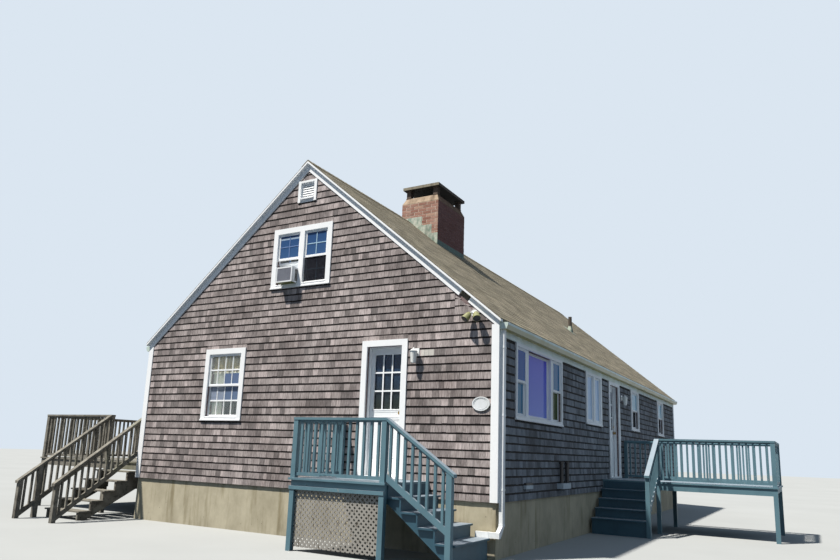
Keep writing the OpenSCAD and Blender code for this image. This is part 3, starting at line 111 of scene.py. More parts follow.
WINDOWS = [Window(*facts) for facts in (
    ("front", -1616, 1870, 2982, (768,), True, (4, 2)),
    ("front", -38, 4140, 5063, (493, 493), True, (2, 2)),
    ("right", 1710, 1960, 2984, (420, 1040, 400)),
    ("right", 4817, 2090, 2984, (420, 420), False),
    ("right", 8470, 2130, 2984, (660,)),
    ("right", 11700, 2130, 2984, (660,)),
    ("left", 5117, 2090, 2984, (420, 420), False),
    ("left", 8470, 2130, 2984, (660,)),
    ("left", 11700, 2130, 2984, (660,)),
    ("rear", -1616, 1870, 2982, (768,), True, (4, 2)),
    ("rear", 1616, 1870, 2982, (768,), True, (4, 2)),
    ("rear", 0, 4140, 5063, (493, 493), True, (2, 2)),
)]
LOWER, UPPER = WINDOWS[:2]
WALL_TURN = {"front": 0.0, "right": math.pi / 2, "rear": math.pi, "left": -math.pi / 2}


def settings():
    return bpy.context.scene.beach_house_looks


def linear(colour):
    """Turns an sRGB hex colour into the linear RGBA that a socket takes."""
    parts = [int(colour[i:i + 2], 16) / 255 for i in (1, 3, 5)]
    return tuple(c / 12.92 if c <= 0.04045 else ((c + 0.055) / 1.055) ** 2.4 for c in parts) + (1.0,)


def row(x, y, z):
    """A point of the house, in millimetres, as a point of the frame in metres."""
    return SHIFT + Vector((x, y, z)) / 1000


def on_wall(wall, u, v, z):
    """A point along a wall, v into it from its face, in the frame."""
    x, y = {"front": (u, v), "right": (HALF_W - v, u), "left": (v - HALF_W, u), "rear": (-u, LENGTH - v)}[wall]
    return row(x, y, z)


def roof_top(x):
    return RIDGE - PITCH * abs(x)


# materials


class Nodes:
    """A node tree as it is built up; its colours may be given as hex."""

    def __init__(self, tree):
        self.tree = tree

    def feed(self, sockets, values):
        """Gives each named socket its link, value or hex colour."""
        for key, value in values.items():
            if isinstance(value, bpy.types.NodeSocket):
                self.tree.links.new(value, sockets[key])
            else:
                sockets[key].default_value = linear(value) if isinstance(value, str) and value[0] == "#" else value

    def add(self, kind, inputs=None, ramp=None, **options):
        """Adds one node with its options, its colour ramp and its inputs; returns its outputs."""
        made = self.tree.nodes.new(kind)
        for key, value in options.items():
            setattr(made, key, value)
        if ramp:
            points = made.color_ramp.elements
            for point, (place, colour) in zip((points[0], points[1]), (ramp[0], ramp[-1])):
                point.position, point.color = place, linear(colour)
            for place, colour in ramp[1:-1]:
                points.new(place).color = linear(colour)
        self.feed(made.inputs, inputs or {})
        return made.outputs

    def calc(self, how, a, b):
        return self.add("ShaderNodeMath", {0: a, 1: b}, operation=how)[0]

    def together(self, how, values):
        """One value from several, taken two by two."""
        first, *rest = values
        for value in rest:
            first = self.calc(how, first, value)
        return first

    def blend(self, factor, a, b, how="MIX"):
        """Mixes two colours."""
        return self.add("ShaderNodeMix", {0: factor, 6: a, 7: b}, data_type="RGBA", blend_type=how)[2]

    def spread(self, value, low, high, to_low=0.0, to_high=1.0):
        """Maps a value between low and high onto another range, and clamps it there."""
        return self.add("ShaderNodeMapRange", {"Value": value, "From Min": low, "From Max": high,
                                               "To Min": to_low, "To Max": to_high})[0]

    def parts(self, vector):
        return self.add("ShaderNodeSeparateXYZ", {0: vector})

    def seen(self):
        """1 for the rays that show the stage to the camera, in gloss and through glass."""
        rays = self.add("ShaderNodeLightPath")
        shown = self.calc("MAXIMUM", rays["Is Camera Ray"], rays["Is Glossy Ray"])
        return self.calc("MAXIMUM", shown, rays["Is Transmission Ray"])


class Finish(Nodes):
    """A material as it is built up: its shader, the place on the house in metres and the colour so far."""

    def __init__(self, name, base=None):
        self.made = bpy.data.materials.new(name)
        self.made.use_nodes = True
        super().__init__(self.made.node_tree)
        self.shader = self.tree.nodes["Principled BSDF"]
        self.place = self.add("ShaderNodeTexCoord")["Object"]
        self.base = base

    def noise(self, scale, detail=4.0, roughness=0.55, stretch=(1, 1, 1)):
        """Noise whose features are about 1 / scale metres, longer where stretch is small."""
        moved = self.add("ShaderNodeMapping", {"Vector": self.place, "Scale": stretch})[0]
        return self.add("ShaderNodeTexNoise",
                        {"Vector": moved, "Scale": scale, "Detail": detail, "Roughness": roughness})[0]

    def mark(self, name):
        """A value that the laying nodes left on each piece."""
        return self.add("ShaderNodeAttribute", attribute_name=name)["Fac"]

    def tinted(self, ramp):
        """Starts with a colour of the ramp for each piece, by its own tint."""
        self.base = self.add("ShaderNodeValToRGB", {0: self.mark("tint")}, ramp=ramp)[0]

    def normal(self, axis):
        return self.parts(self.add("ShaderNodeNewGeometry")["Normal"])[axis]

    def over(self, value, low, high, amount, colour, how="MIX"):
        """Lays a colour over the base as the value rises from low to high, up to an amount."""
        self.base = self.blend(self.spread(value, low, high, 0.0, amount), self.base, colour, how)

    def stain(self, *values):
        self.over(*values, "MULTIPLY")

    def shade_right_side(self, film):
        """Painted shade: a dark, cool colour over the faces of the right-hand side, so that they read duller than the
        gable.
        """
        self.stain(self.normal("X"), 0.6, 0.8, 1.0, film)

    def weathered(self, under=None, upper=None):
        """Another colour where a face looks down, and above a height: painted shade and painted reflection, and the
        real dark of iron pipes.
        """
        if under:
            self.base = self.blend(self.spread(self.normal("Z"), -0.5, -0.3, 1.0, 0.0), self.base, under)
        if upper:
            height = upper[0] / 1000
            self.over(self.parts(self.place)["Z"], height, height + 0.002, 1.0, upper[1])

    def within(self, *limits):
        """1 inside a box of house millimetres and 0 outside; limits are from and to along X, Y and Z."""
        tests, parts = [], self.parts(self.place)
        for index, axis in enumerate("XYZ"):
            low, high = (limit / 1000 + SHIFT[index] for limit in limits[2 * index:2 * index + 2])
            tests += [self.spread(parts[axis], low - 0.001, low),
                      self.spread(parts[axis], high, high + 0.001, 1.0, 0.0)]
        return self.together("MULTIPLY", tests)

    def end(self, roughness, relief=None, **inputs):
        """Ends the material: relief is (height, distance, strength), other inputs go by name, with _ for a space."""
        self.feed(self.shader.inputs, {"Base Color": self.base, "Roughness": roughness})
        self.feed(self.shader.inputs, {key.replace("_", " "): value for key, value in inputs.items()})
        if relief:
            height, distance, strength = relief
            raised = self.add("ShaderNodeBump", {"Strength": strength, "Distance": distance, "Height": height})[0]
            self.feed(self.shader.inputs, {"Normal": raised})
        return self.made


def cedar_shingle(name):
    """Sawn eastern white cedar, left bare: salt air has turned it silver, a little pink where the light rakes it."""
    m = Finish(name)
    m.tinted(settings().ramp("wall_shingle", ((0.0, 0.74), (0.2, 0.9), (0.5, 1.0), (0.8, 1.1), (0.93, 1.2),
                                              (1.0, 0.78))))
    # saw marks and grain run down the shingle, about 9 mm apart so that they show
    grain = m.noise(110, 3.0, 0.6, (1, 1, 0.07))
    m.stain(grain, 0.38, 0.62, 0.55, "#766f6d")
    m.stain(m.noise(1.1, 5.0, 0.6, (1, 1, 1.4)), 0.42, 0.68, 0.5, "#8f8682")
    # painted shade: the strip under the next butt, where the butt's shadow falls, is drawn nearly black
    m.stain(m.mark("along"), 0.61, 0.66, 0.97, "#1d191b")
    # one paler, newer shingle right of the lantern
    m.over(m.within(2392, 2612, -30, 5, 2789, 2879), 0.0, 1.0, 0.75, "#cfccc4")
    # painted shade on the faces of the right-hand side
    m.shade_right_side("#cde2f0")
    return m.end(0.9, (grain, 0.0025, 0.8), Specular_IOR_Level=0.25)


def asphalt_shingle(name):
    """Three-tab asphalt shingle: ceramic granules pressed into bitumen, bleached and blotched with lichen."""
    m = Finish(name)
    m.tinted(settings().ramp("roof_shingle", ((0.0, 0.86), (0.3, 0.97), (0.65, 1.04), (1.0, 1.14))))
    # granules are 1.5 mm; drawn at 20 mm so that they show
    granules = m.noise(50, 3.0, 0.75)
    m.stain(granules, 0.36, 0.64, 0.55, "#6a6152")
    m.stain(m.noise(4.5, 6.0, 0.72), 0.48, 0.70, 0.5, "#77705a")
    m.over(m.noise(9.0, 6.0, 0.75), 0.58, 0.70, 0.5, "#b3a684")
    return m.end(0.95, (granules, 0.003, 0.7), Specular_IOR_Level=0.2)


def painted_timber(name, paint, dirt, bare, worn, grain_stretch=(1, 1, 0.12), rubbed=None):
    """Softwood under oil paint: brush texture, grime, flakes down to grey timber, and tops drawn silver, partly wear
    and partly painted light from the sky.
    """
    m = Finish(name, paint)
    grime = m.noise(2.3, 5.0, 0.65, (1, 1, 0.6))
    m.over(grime, 0.45, 0.75, 0.8, dirt)
    grain = m.noise(60, 4.0, 0.6, grain_stretch)
    mask = m.spread(m.noise(17, 6.0, 0.72, (1, 1, 0.45)), 1.0 - worn, 1.02 - worn)
    m.base = m.blend(mask, m.base, m.blend(m.spread(grain, 0.4, 0.6), bare, "#5f584d"))
    if rubbed:
        # faces that look up are drawn silver: partly wear, partly painted light from the sky, more in some places than
        # in others
        upward = m.spread(m.normal("Z"), 0.4, 0.6)
        m.base = m.blend(m.calc("MULTIPLY", upward, m.spread(grime, 0.3, 0.6, 0.45, 0.85)), m.base, rubbed)
    return m.end(m.spread(mask, 0.0, 1.0, 0.55, 0.9), (m.blend(mask, grain, "#000000"), 0.0012, 0.5))


def bare_timber(name, light, dark):
    """Pressure-treated pine, never painted: silver grey with dark checks along the grain and a little moss."""
    m = Finish(name, light)
    m.over(m.noise(6, 4.0, 0.6), 0.35, 0.7, 1.0, dark)
    checks = m.noise(85, 6.0, 0.75, (0.16, 0.16, 0.16))
    m.stain(checks, 0.52, 0.66, 0.7, "#3c382f")
    m.over(m.noise(1.7, 3.0, 0.5), 0.58, 0.72, 0.4, "#6f7358")
    return m.end(0.92, (checks, 0.002, 0.6))


def fired_brick(name):
    """Soft-mud clay brick: rough, orange red to plum, with soot and lime bloom."""
    m = Finish(name)
    m.tinted([(0.0, "#8d6152"), (0.3, "#a57868"), (0.6, "#b08777"), (0.85, "#976c5c"), (1.0, "#bb9884")])
    grit = m.noise(130, 3.0, 0.7)
    m.stain(grit, 0.4, 0.65, 0.45, "#8a6a5c")
    m.over(m.noise(4.0, 5.0, 0.7, (1, 1, 0.5)), 0.5, 0.72, 0.35, "#c4b0a0")
    # painted shade on the faces of the right-hand side
    m.shade_right_side("#9a8c9c")
    return m.end(0.9, (grit, 0.002, 0.8))


def trowelled(name, light, dark, stain, scale=5.0, roughness=0.92, film="#ffffff", **shade_and_stains):
    """Cement mortar or render laid on with a trowel: sandy, mottled, with rain stains running down."""
    m = Finish(name, light)
    m.over(m.noise(scale, 6.0, 0.65, (1, 1, 0.7)), 0.38, 0.66, 1.0, dark)
    m.stain(m.noise(7.0, 4.0, 0.6, (1, 1, 0.12)), 0.52, 0.72, 0.7, stain)
    spots = m.add("ShaderNodeTexVoronoi", {"Vector": m.place, "Scale": 6.5})[0]
    m.base = m.blend(m.spread(spots, 0.045, 0.06, 0.6, 0.0), m.base, "#4a443a")
    m.weathered(**shade_and_stains)
    # painted shade on the faces of the right-hand side, in the colour given
    m.shade_right_side(film)
    return m.end(roughness, (m.noise(150, 2.0, 0.6), 0.0015, 0.6))


def plain(name, colour, dirt, roughness, metallic, scale, amount, coat=0.0, **shade_and_stains):
    """A smooth finish with faint handling marks: enamel, moulded plastic, brass or iron by its values."""
    m = Finish(name, colour)
    marks = m.noise(scale, 5.0, 0.65, (1, 1, 0.4))
    m.over(marks, 0.45, 0.75, amount, dirt)
    m.weathered(**shade_and_stains)
    return m.end(m.spread(marks, 0.3, 0.7, roughness, min(1.0, roughness + 0.2)), (m.noise(90, 2.0), 0.0004, 0.5),
                 Metallic=metallic, Coat_Weight=coat)


def float_glass(name):
    """Float glass, old and a little wavy: most panes carry a painted reflection of the sky, one of trees, and some the
    painted shade of a dark room; a few let the room and its cloth show.
    """
    m = Finish(name, "#e6eeec")
    side, first, second, third = (HALF_W - 200, HALF_W), (600, 1150), (2300, 2760), (8000, 12200)
    clear = 0.96
    # what each pane holds: its limits, its upper and lower colour, painted reflection and painted shade, and how much
    # light goes through it
    for limits, upper, lower, through in (
            ((-1607, -1240, -10, 60, 2156, 2630), "#6c80a4", "#7488a6", 0.3),
            ((-1995, -1607, 30, 70, 2156, 2430), "#acb6c8", "#a2aec2", 0.5),
            ((-HALF_W - 5, 300 - HALF_W, 1250, 3130, 1000, 2984), "#2b3238", "#22282d", 0.03),
            ((-700, 700, -10, 60, 4602, 5063), "#2f5080", "#40638f", 0.1),
            ((-560, -120, -10, 60, 4956, 4988), "#a3b6cb", "#a3b6cb", 0.1),
            ((*side, *first, 2472, 2984), "#1c5cb4", "#246cb4", 0.04),
            ((*side, *first, 1960, 2472), "#5596bc", "#5a8aa6", 0.05),
            ((*side, 1200, 2240, 1960, 2984), "#7674f4", "#8c9ef6", 0.02),
            ((*side, *second, 2472, 2984), "#377cb4", "#4284b0", 0.04),
            ((*side, *second, 1960, 2472), "#5f6c42", "#4a5836", 0.05),
            ((*side, 4300, 5300, 2000, 2984), "#c4e0ff", "#c8e2fc", 0.03),
            ((*side, *third, 2557, 2984), "#9ad4ea", "#a4d6e6", 0.05),
            ((*side, *third, 2100, 2557), "#262c34", "#1f2429", 0.1)):
        mask = m.within(*limits)
        height = m.spread(m.parts(m.place)["Z"], limits[4] / 1000, limits[5] / 1000)
        m.base = m.blend(mask, m.base, m.blend(height, lower, upper))
        clear = m.spread(mask, 0.0, 1.0, clear, through)
    # sunlight falls through the clear panes onto the cloth
    sunny = m.calc("MULTIPLY", m.add("ShaderNodeLightPath")["Is Shadow Ray"], clear)
    return m.end(0.03, (m.noise(2.2, 1.0), 0.002, 0.25), Transmission_Weight=clear, IOR=1.46,
                 Alpha=m.spread(sunny, 0.0, 1.0, 1.0, 0.0), Specular_IOR_Level=0.06)


def clear_glass(name):
    """Clear glass of the doors: a painted reflection of a bluish sky above and a dull green below."""
    m = Finish(name)
    m.base = m.blend(m.spread(m.parts(m.place)["Z"], 2.1, 2.65), "#3a443c", "#3a5a80")
    m.over(m.noise(7.0, stretch=(1, 1, 0.5)), 0.4, 0.8, 0.5, "#343d44")
    return m.end(0.04, Transmission_Weight=0.6, IOR=1.46, Specular_IOR_Level=0.1)


def wire_gauze(name):
    """Black insect screen; its mesh of 1.3 mm is too fine to draw, so that it hangs as an even veil."""
    m = Finish(name, "#22232b")
    m.over(m.noise(9.0, 3.0, stretch=(1, 1, 0.6)), 0.4, 0.8, 1.0, "#2b2c35")
    return m.end(0.8, Alpha=0.58, Specular_IOR_Level=0.05)


def woven_cloth(name, colour, shade, threads, sheer=0.0):
    """Plain-weave cotton or voile: warp and weft read as a fine grid, and sheer cloth lets light through."""
    m = Finish(name, colour)
    weave = m.add("ShaderNodeTexChecker", {"Vector": m.place, "Scale": threads})[1]
    m.over(m.noise(12, 3.0, stretch=(1, 1, 0.3)), 0.35, 0.7, 1.0, shade)
    m.stain(weave, 0.0, 1.0, 0.18, "#8a8072")
    return m.end(0.9, (weave, 0.0004, 0.5), Sheen_Weight=0.25, Transmission_Weight=sheer,
                 IOR=1.05 if sheer else 1.5)


def wall_build(name):
    """Pine board sheathing outside, behind the shingles, and rolled plaster on the room side."""
    m = Finish(name, "#857270")
    parts, depth = m.parts(m.place), WALL - 8
    low, high = row(depth - HALF_W, depth, 0), row(HALF_W - depth, LENGTH - depth, 0)
    tests = []
    for axis, key in enumerate("XY"):
        tests += [m.spread(parts[key], low[axis], low[axis] + 0.002),
                  m.spread(parts[key], high[axis] - 0.002, high[axis], 1.0, 0.0)]
    inside = m.together("MINIMUM", tests)
    m.over(m.noise(18, stretch=(0.1, 0.1, 2.0)), 0.35, 0.7, 1.0, "#5f4f50")
    rolled = m.noise(60, 3.0)
    m.base = m.blend(inside, m.base, m.blend(m.spread(rolled, 0.3, 0.7), "#cfc8b8", "#c2baa8"))
    return m.end(0.85, (rolled, 0.001, 0.4))


def floor_boards(name):
    """Planed pine floorboards, 140 mm wide, waxed and yellowed."""
    m = Finish(name)
    moved = m.add("ShaderNodeMapping", {"Vector": m.place, "Rotation": (0, 0, math.pi / 2)})[0]
    m.base = m.add("ShaderNodeTexBrick", {"Vector": moved, "Color1": "#a5835a", "Color2": "#8d6c45",
                                          "Mortar": "#3a2c1c", "Scale": 1.0, "Mortar Size": 0.003,
                                          "Brick Width": 2.4, "Row Height": 0.14})[0]
    grain = m.noise(40, stretch=(1, 0.05, 1))
    m.stain(grain, 0.4, 0.7, 0.5, "#6b4f31")
    return m.end(0.4, (grain, 0.0008, 0.4))


# Each finish: what makes it, its values in order, and values by name. A colour without # is one of the settings.
FINISHES = {
    "cedar_shingle": (cedar_shingle,),
    "asphalt_shingle": (asphalt_shingle,),
    "white_paint": (painted_timber, "#fbfcfc", "#f1f3f4", "#b4b1ac", 0.16),
    # the frieze boards take a cool-tinted copy of the white paint: painted shade
    "soffit_paint": (painted_timber, "#effbfa", "#d0d9c6", "#a39b8c", 0.26),
    "teal_paint": (painted_timber, "deck_paint", "#43606c", "#a7aca8", 0.36, {"rubbed": "#98a1ab"}),
    # the steps take a darker copy of the teal paint: painted shade
    "teal_shade": (painted_timber, "#2f5363", "#213f4c", "#7e8785", 0.3, {"rubbed": "#939ca6"}),
    "lattice_paint": (painted_timber, "#9b978f", "#7e7a72", "#6f695f", 0.42, (1, 1, 1)),
    "grey_timber": (bare_timber, "bare_deck", "#625d54"),
    "fired_brick": (fired_brick,),
    # the right-side colours in the lines below are painted shade
    "lime_mortar": (trowelled, "#e0cebd", "#cdbaa8", "#b3a496", {"film": "#837480"}),
    # painted shade: from WASH + 162 mm up, under the cap, the wash and the pier beds are drawn dark
    "cement_wash": (trowelled, "#ac9781", "#907c67", "#857668", 7.0,
                    {"upper": (WASH + 162, "#5d4f46"), "film": "#8f8078"}),
    # painted shade: the cap's underside is drawn nearly black
    "cast_slab": (trowelled, "#9a9280", "#7c7564", "#5f5a48", 9.0, {"under": "#12100f", "film": "#77727a"}),
    "parged_concrete": (trowelled, "#c2b9a0", "#a79e86", "#b0a88f", 2.2),
    "lead_sheet": (trowelled, "#c6c8ba", "#7f9585", "#3c5547", 14.0, 0.7, {"film": "#5a7a80"}),
    "cast_iron": (plain, "#4a4642", "#6d5a48", 0.75, 0.4, 14.0, 0.8),
    "lamp_enamel": (plain, "#8c8c5e", "#64653f", 0.4, 0.0, 12.0, 0.7, {"coat": 0.2}),
    # painted shade: a nearly black disc in the mouth of each floodlight head
    "lamp_reflector": (plain, "#20252d", "#12151a", 0.35, 0.0, 12.0, 0.7),
    "grey_steel": (plain, "#b9c4cc", "#8d989f", 0.5, 0.0, 9.0, 0.7, {"upper": (950, "#1b1c20")}),
    # painted shade: the gutters drawn pale teal grey rather than white; painted reflection: faces that look down drawn
    # olive yellow
    "gutter_enamel": (plain, "#c6d8d4", "#b4b696", 0.38, 0.0, 3.5, 0.6, {"coat": 0.2, "under": "#b5a866"}),
    "white_enamel": (plain, "#eef0f0", "#c9ccc9", 0.32, 0.0, 5.0, 0.6, {"coat": 0.2}),
    # painted shade: faces that look down drawn dark olive
    "moulded_plastic": (plain, "#e9ecee", "#cfd0cc", 0.45, 0.0, 6.0, 0.6, {"under": "#646a2e"}),
    "old_brass": (plain, "#a98849", "#6e5930", 0.38, 1.0, 22.0, 0.8),
    "coil_fins": (plain, "#a3a5ae", "#8f929c", 0.6, 0.0, 20.0, 0.7),
    # painted shade: dark slats stand for the shaded openings of the cooler's side vents
    "dark_grille": (plain, "#3b332d", "#26211e", 0.7, 0.0, 20.0, 0.7),
    "lamp_glass": (plain, "#f4f4ee", "#c9cdc4", 0.15, 0.0, 14.0, 0.7, {"coat": 0.3}),
    # painted shade: the upper window's white bars drawn blue grey, darker on the left unit
    "dim_grille": (plain, "#637fae", "#56709c", 0.5, 0.0, 12.0, 0.5),
    "pale_grille": (plain, "#a6c6da", "#8fb2ca", 0.5, 0.0, 12.0, 0.5),
    "float_glass": (float_glass,),
    "clear_glass": (clear_glass,),
    "wire_gauze": (wire_gauze,),
    "ochre_cotton": (woven_cloth, "#93804f", "#74633c", 700),
    "white_cotton": (woven_cloth, "#f1ece0", "#d8d0c0", 700),
    "sheer_voile": (woven_cloth, "#e4e2da", "#c9cac6", 900, 0.25),
    "wall_build": (wall_build,),
    "floor_boards": (floor_boards,),
}
MADE = {}


def finish(name):
    """The material of that name, made the first time it is asked for."""
    if name not in MADE:
        maker, *values = FINISHES[name]
        named = values.pop() if values and isinstance(values[-1], dict) else {}
        values = [settings().hex(value) if isinstance(value, str) and value[0] != "#" else value for value in values]
        MADE[name] = maker(name, *values, **named)
    return MADE[name]


# meshes


def stand(name, data, body="house"):
    """Puts a mesh in the scene as one object that rides on a body."""
    made = bpy.data.objects.new(name, data)
    bpy.context.scene.collection.objects.link(made)
    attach(made, body)
    return made


class Solids:
    """Collects closed solids in the frame's metres and makes one object of them."""

    def __init__(self):
        self.mesh = bmesh.new()

    def box(self, a, b):
        """A box between two opposite corners."""
        low, high = Vector(map(min, a, b)), Vector(map(max, a, b))
        place = Matrix.Translation((low + high) / 2) @ Matrix.Diagonal((*(high - low), 1.0))
        bmesh.ops.create_cube(self.mesh, size=1.0, matrix=place)

    def wall_box(self, wall, u0, u1, v0, v1, z0, z1):
        self.box(on_wall(wall, u0, v0, z0), on_wall(wall, u1, v1, z1))

    def border(self, wall, u0, u1, v0, v1, z0, z1, width, tuck=0):
        """Four strips round the inside of an oblong; the level ones stop short at each end by tuck."""
        for a, b in ((u0, u0 + width), (u1 - width, u1)):
            self.wall_box(wall, a, b, v0, v1, z0, z1)
        for a, b in ((z0, z0 + width), (z1 - width, z1)):
            self.wall_box(wall, u0 + tuck, u1 - tuck, v0, v1, a, b)

    def join(self, rings, closed=False):
        """Faces between each ring of corners and the next, and from the last to the first where closed."""
        for a, b in zip(rings, rings[1:] + rings[:closed]):
            for i in range(len(a)):
                after = (i + 1) % len(a)
                self.mesh.faces.new((a[i], a[after], b[after], b[i]))

    def prism(self, outline, step):
        """An outline of points, drawn out by a vector; returns its corners."""
        near = [self.mesh.verts.new(point) for point in outline]
        far = [self.mesh.verts.new(Vector(point) + Vector(step)) for point in outline]
        self.mesh.faces.new(near)
        self.mesh.faces.new(far[::-1])
        self.join([near, far])
        return near + far

    def turned(self, centre, axis, profile, sides=24):
        """A profile of (distance along the axis, radius) in metres, turned about an axis and closed at its ends."""
        axis = Vector(axis).normalized()
        across = axis.orthogonal().normalized()
        other = axis.cross(across)
        turns = [2 * math.pi * i / sides for i in range(sides)]
        rings = [[self.mesh.verts.new(Vector(centre) + axis * along + (across * math.cos(turn) * radius
                                                                       + other * math.sin(turn) * radius))
                  for turn in turns] for along, radius in profile]
        self.join(rings)
        self.mesh.faces.new(rings[0][::-1])
        self.mesh.faces.new(rings[-1])

    def make(self, name, material, body="house", slot=None, bevel=0.0, smooth=False):
        """Ends the collecting: one object, its faces outwards, that rides on a body."""
        bmesh.ops.recalc_face_normals(self.mesh, faces=self.mesh.faces)
        data = bpy.data.meshes.new(name)
        self.mesh.to_mesh(data)
        self.mesh.free()
        data.materials.append(finish(material))
        if smooth:
            data.polygons.foreach_set("use_smooth", [True] * len(data.polygons))
        made = stand(name, data, body)
        if bevel:
            edges = made.modifiers.new("Eased edges", "BEVEL")
            edges.width, edges.segments, edges.limit_method = bevel, 2, "ANGLE"
        return made


def facing(out, up):
    """The turn that lays a piece with its face along out and its length along up."""
    out, up = Vector(out).normalized(), Vector(up).normalized()
    return Matrix(((-out).cross(up), -out, up)).transposed().to_euler()


def laying_tree(name, material):
    """Geometry nodes that lay one tapered piece on every point, by the point's own size and turn."""
    t = Nodes(bpy.data.node_groups.new(name, "GeometryNodeTree"))
    for label, way, kind in (("Points", "INPUT", "Geometry"), ("Butt thickness", "INPUT", "Float"),
                             ("Tip thickness", "INPUT", "Float"), ("Seed", "INPUT", "Int"),
                             ("Pieces", "OUTPUT", "Geometry")):
        socket = t.tree.interface.new_socket(label, in_out=way, socket_type="NodeSocket" + kind)
        if kind == "Float":
            socket.subtype = "DISTANCE"

    def stored(shape, label, value):
        return t.add("GeometryNodeStoreNamedAttribute", {"Geometry": shape, "Name": label, "Value": value},
                     data_type="FLOAT", domain="POINT")[0]

    def own(label):
        return t.add("GeometryNodeInputNamedAttribute", {"Name": label}, data_type="FLOAT_VECTOR")[0]

    source = t.add("NodeGroupInput")
    corner = t.parts(t.add("GeometryNodeInputPosition")[0])
    along = t.calc("ADD", corner["Z"], 0.5)
    thick = t.spread(along, 0.0, 1.0, source["Butt thickness"], source["Tip thickness"])
    depth = t.calc("MULTIPLY", t.calc("MULTIPLY", t.calc("LESS_THAN", corner["Y"], 0.0), thick), -1.0)
    place = t.add("ShaderNodeCombineXYZ", {"X": corner["X"], "Y": depth, "Z": along})[0]
    marked = stored(t.add("GeometryNodeMeshCube", {"Size": (1.0, 1.0, 1.0)})["Mesh"], "along", along)
    piece = t.add("GeometryNodeSetPosition", {"Geometry": marked, "Position": place})[0]
    chance = t.add("FunctionNodeRandomValue", {"Seed": source["Seed"]}, data_type="FLOAT")[1]
    turn = t.add("FunctionNodeEulerToRotation", {0: own("turn")})[0]
    laid = t.add("GeometryNodeInstanceOnPoints", {"Points": stored(source["Points"], "tint", chance),
                                                  "Instance": piece, "Rotation": turn, "Scale": own("size")})[0]
    solid = t.add("GeometryNodeRealizeInstances", {0: laid})[0]
    for spent in ("size", "turn"):
        solid = t.add("GeometryNodeRemoveAttribute", {"Geometry": solid, "Name": spent})[0]
    t.add("NodeGroupOutput", {0: t.add("GeometryNodeSetMaterial", {"Geometry": solid, "Material": material})[0]})
    return t.tree


def lay(name, pieces, material, butt, tip, seed):
    """Lays pieces, each a (place, width, length, turn) in metres, and keeps the result as one plain mesh."""
    data = bpy.data.meshes.new(name + "_points")
    data.from_pydata([piece[0] for piece in pieces], [], [])
    for label, values in (("size", [(p[1], 1.0, p[2]) for p in pieces]), ("turn", [tuple(p[3]) for p in pieces])):
        layer = data.attributes.new(label, "FLOAT_VECTOR", "POINT")
        layer.data.foreach_set("vector", np.array(values, dtype=np.float32).ravel())
    seedling = bpy.data.objects.new(name + "_points", data)
    bpy.context.scene.collection.objects.link(seedling)
    tree = laying_tree(name + "_laying", finish(material))
    wanted = {"Butt thickness": butt, "Tip thickness": tip, "Seed": seed}
    modifier = seedling.modifiers.new("Laying", "NODES")
    modifier.node_group = tree
    for item in tree.interface.items_tree:
        if item.in_out == "INPUT" and item.name in wanted:
            modifier[item.identifier] = wanted[item.name]
    mesh = bpy.data.meshes.new_from_object(seedling.evaluated_get(bpy.context.evaluated_depsgraph_get()))
    if len(mesh.polygons) != 6 * len(pieces):
        raise RuntimeError(f"{name}: {len(mesh.polygons)} faces from {len(pieces)} pieces")
    mesh.name = name
    bpy.data.objects.remove(seedling)
    bpy.data.meshes.remove(data)
    bpy.data.node_groups.remove(tree)
    return stand(name, mesh, "house")


# wall shingles


def cut_course(spans, hole):
    """Takes a hole (u0, u1, z0, z1) out of a course's spans (u0, u1, z0, z1)."""
    left = []
    for u0, u1, z0, z1 in spans:
        if hole[1] <= u0 or hole[0] >= u1 or hole[3] <= z0 or hole[2] >= z1:
            left.append((u0, u1, z0, z1))
            continue
        a, b = max(u0, hole[0]), min(u1, hole[1])
        left += [part for part, kept in (((u0, hole[0], z0, z1), hole[0] > u0), ((hole[1], u1, z0, z1), hole[1] < u1),
                                         ((a, b, z0, hole[2]), hole[2] > z0 + 12),
                                         ((a, b, hole[3], z1), hole[3] < z1 - 12)) if kept]
    return left


def wall_holes(wall):
    """What the shingles of one wall go round, to the outside of its casings."""
    gable = wall in ("front", "rear")
    holes = []
    for window in WINDOWS:
        if window.wall == wall:
            half = window.half + window.casing
            holes.append((window.u - half, window.u + half, window.sill - 62, window.head + (95 if gable else 50)))
    if gable:
        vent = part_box("gable_vents")
        holes.append((-202, 202, vent[0][2] * 1000, vent[1][2] * 1000))
    else:
        start, end = SIDE_DOOR if wall == "right" else PATIO_DOOR
        holes.append((start - CASING, end + CASING, WALL_BASE - 20, FRIEZE))
    if wall == "front":
        holes.append((GABLE_DOOR[0] - CASING, GABLE_DOOR[1] + CASING, WALL_BASE - 20, DOOR_HEAD + CASING))
        holes.append((*BARE_STRIP[:2], LINES[BARE_COURSE], 3900))
    return holes


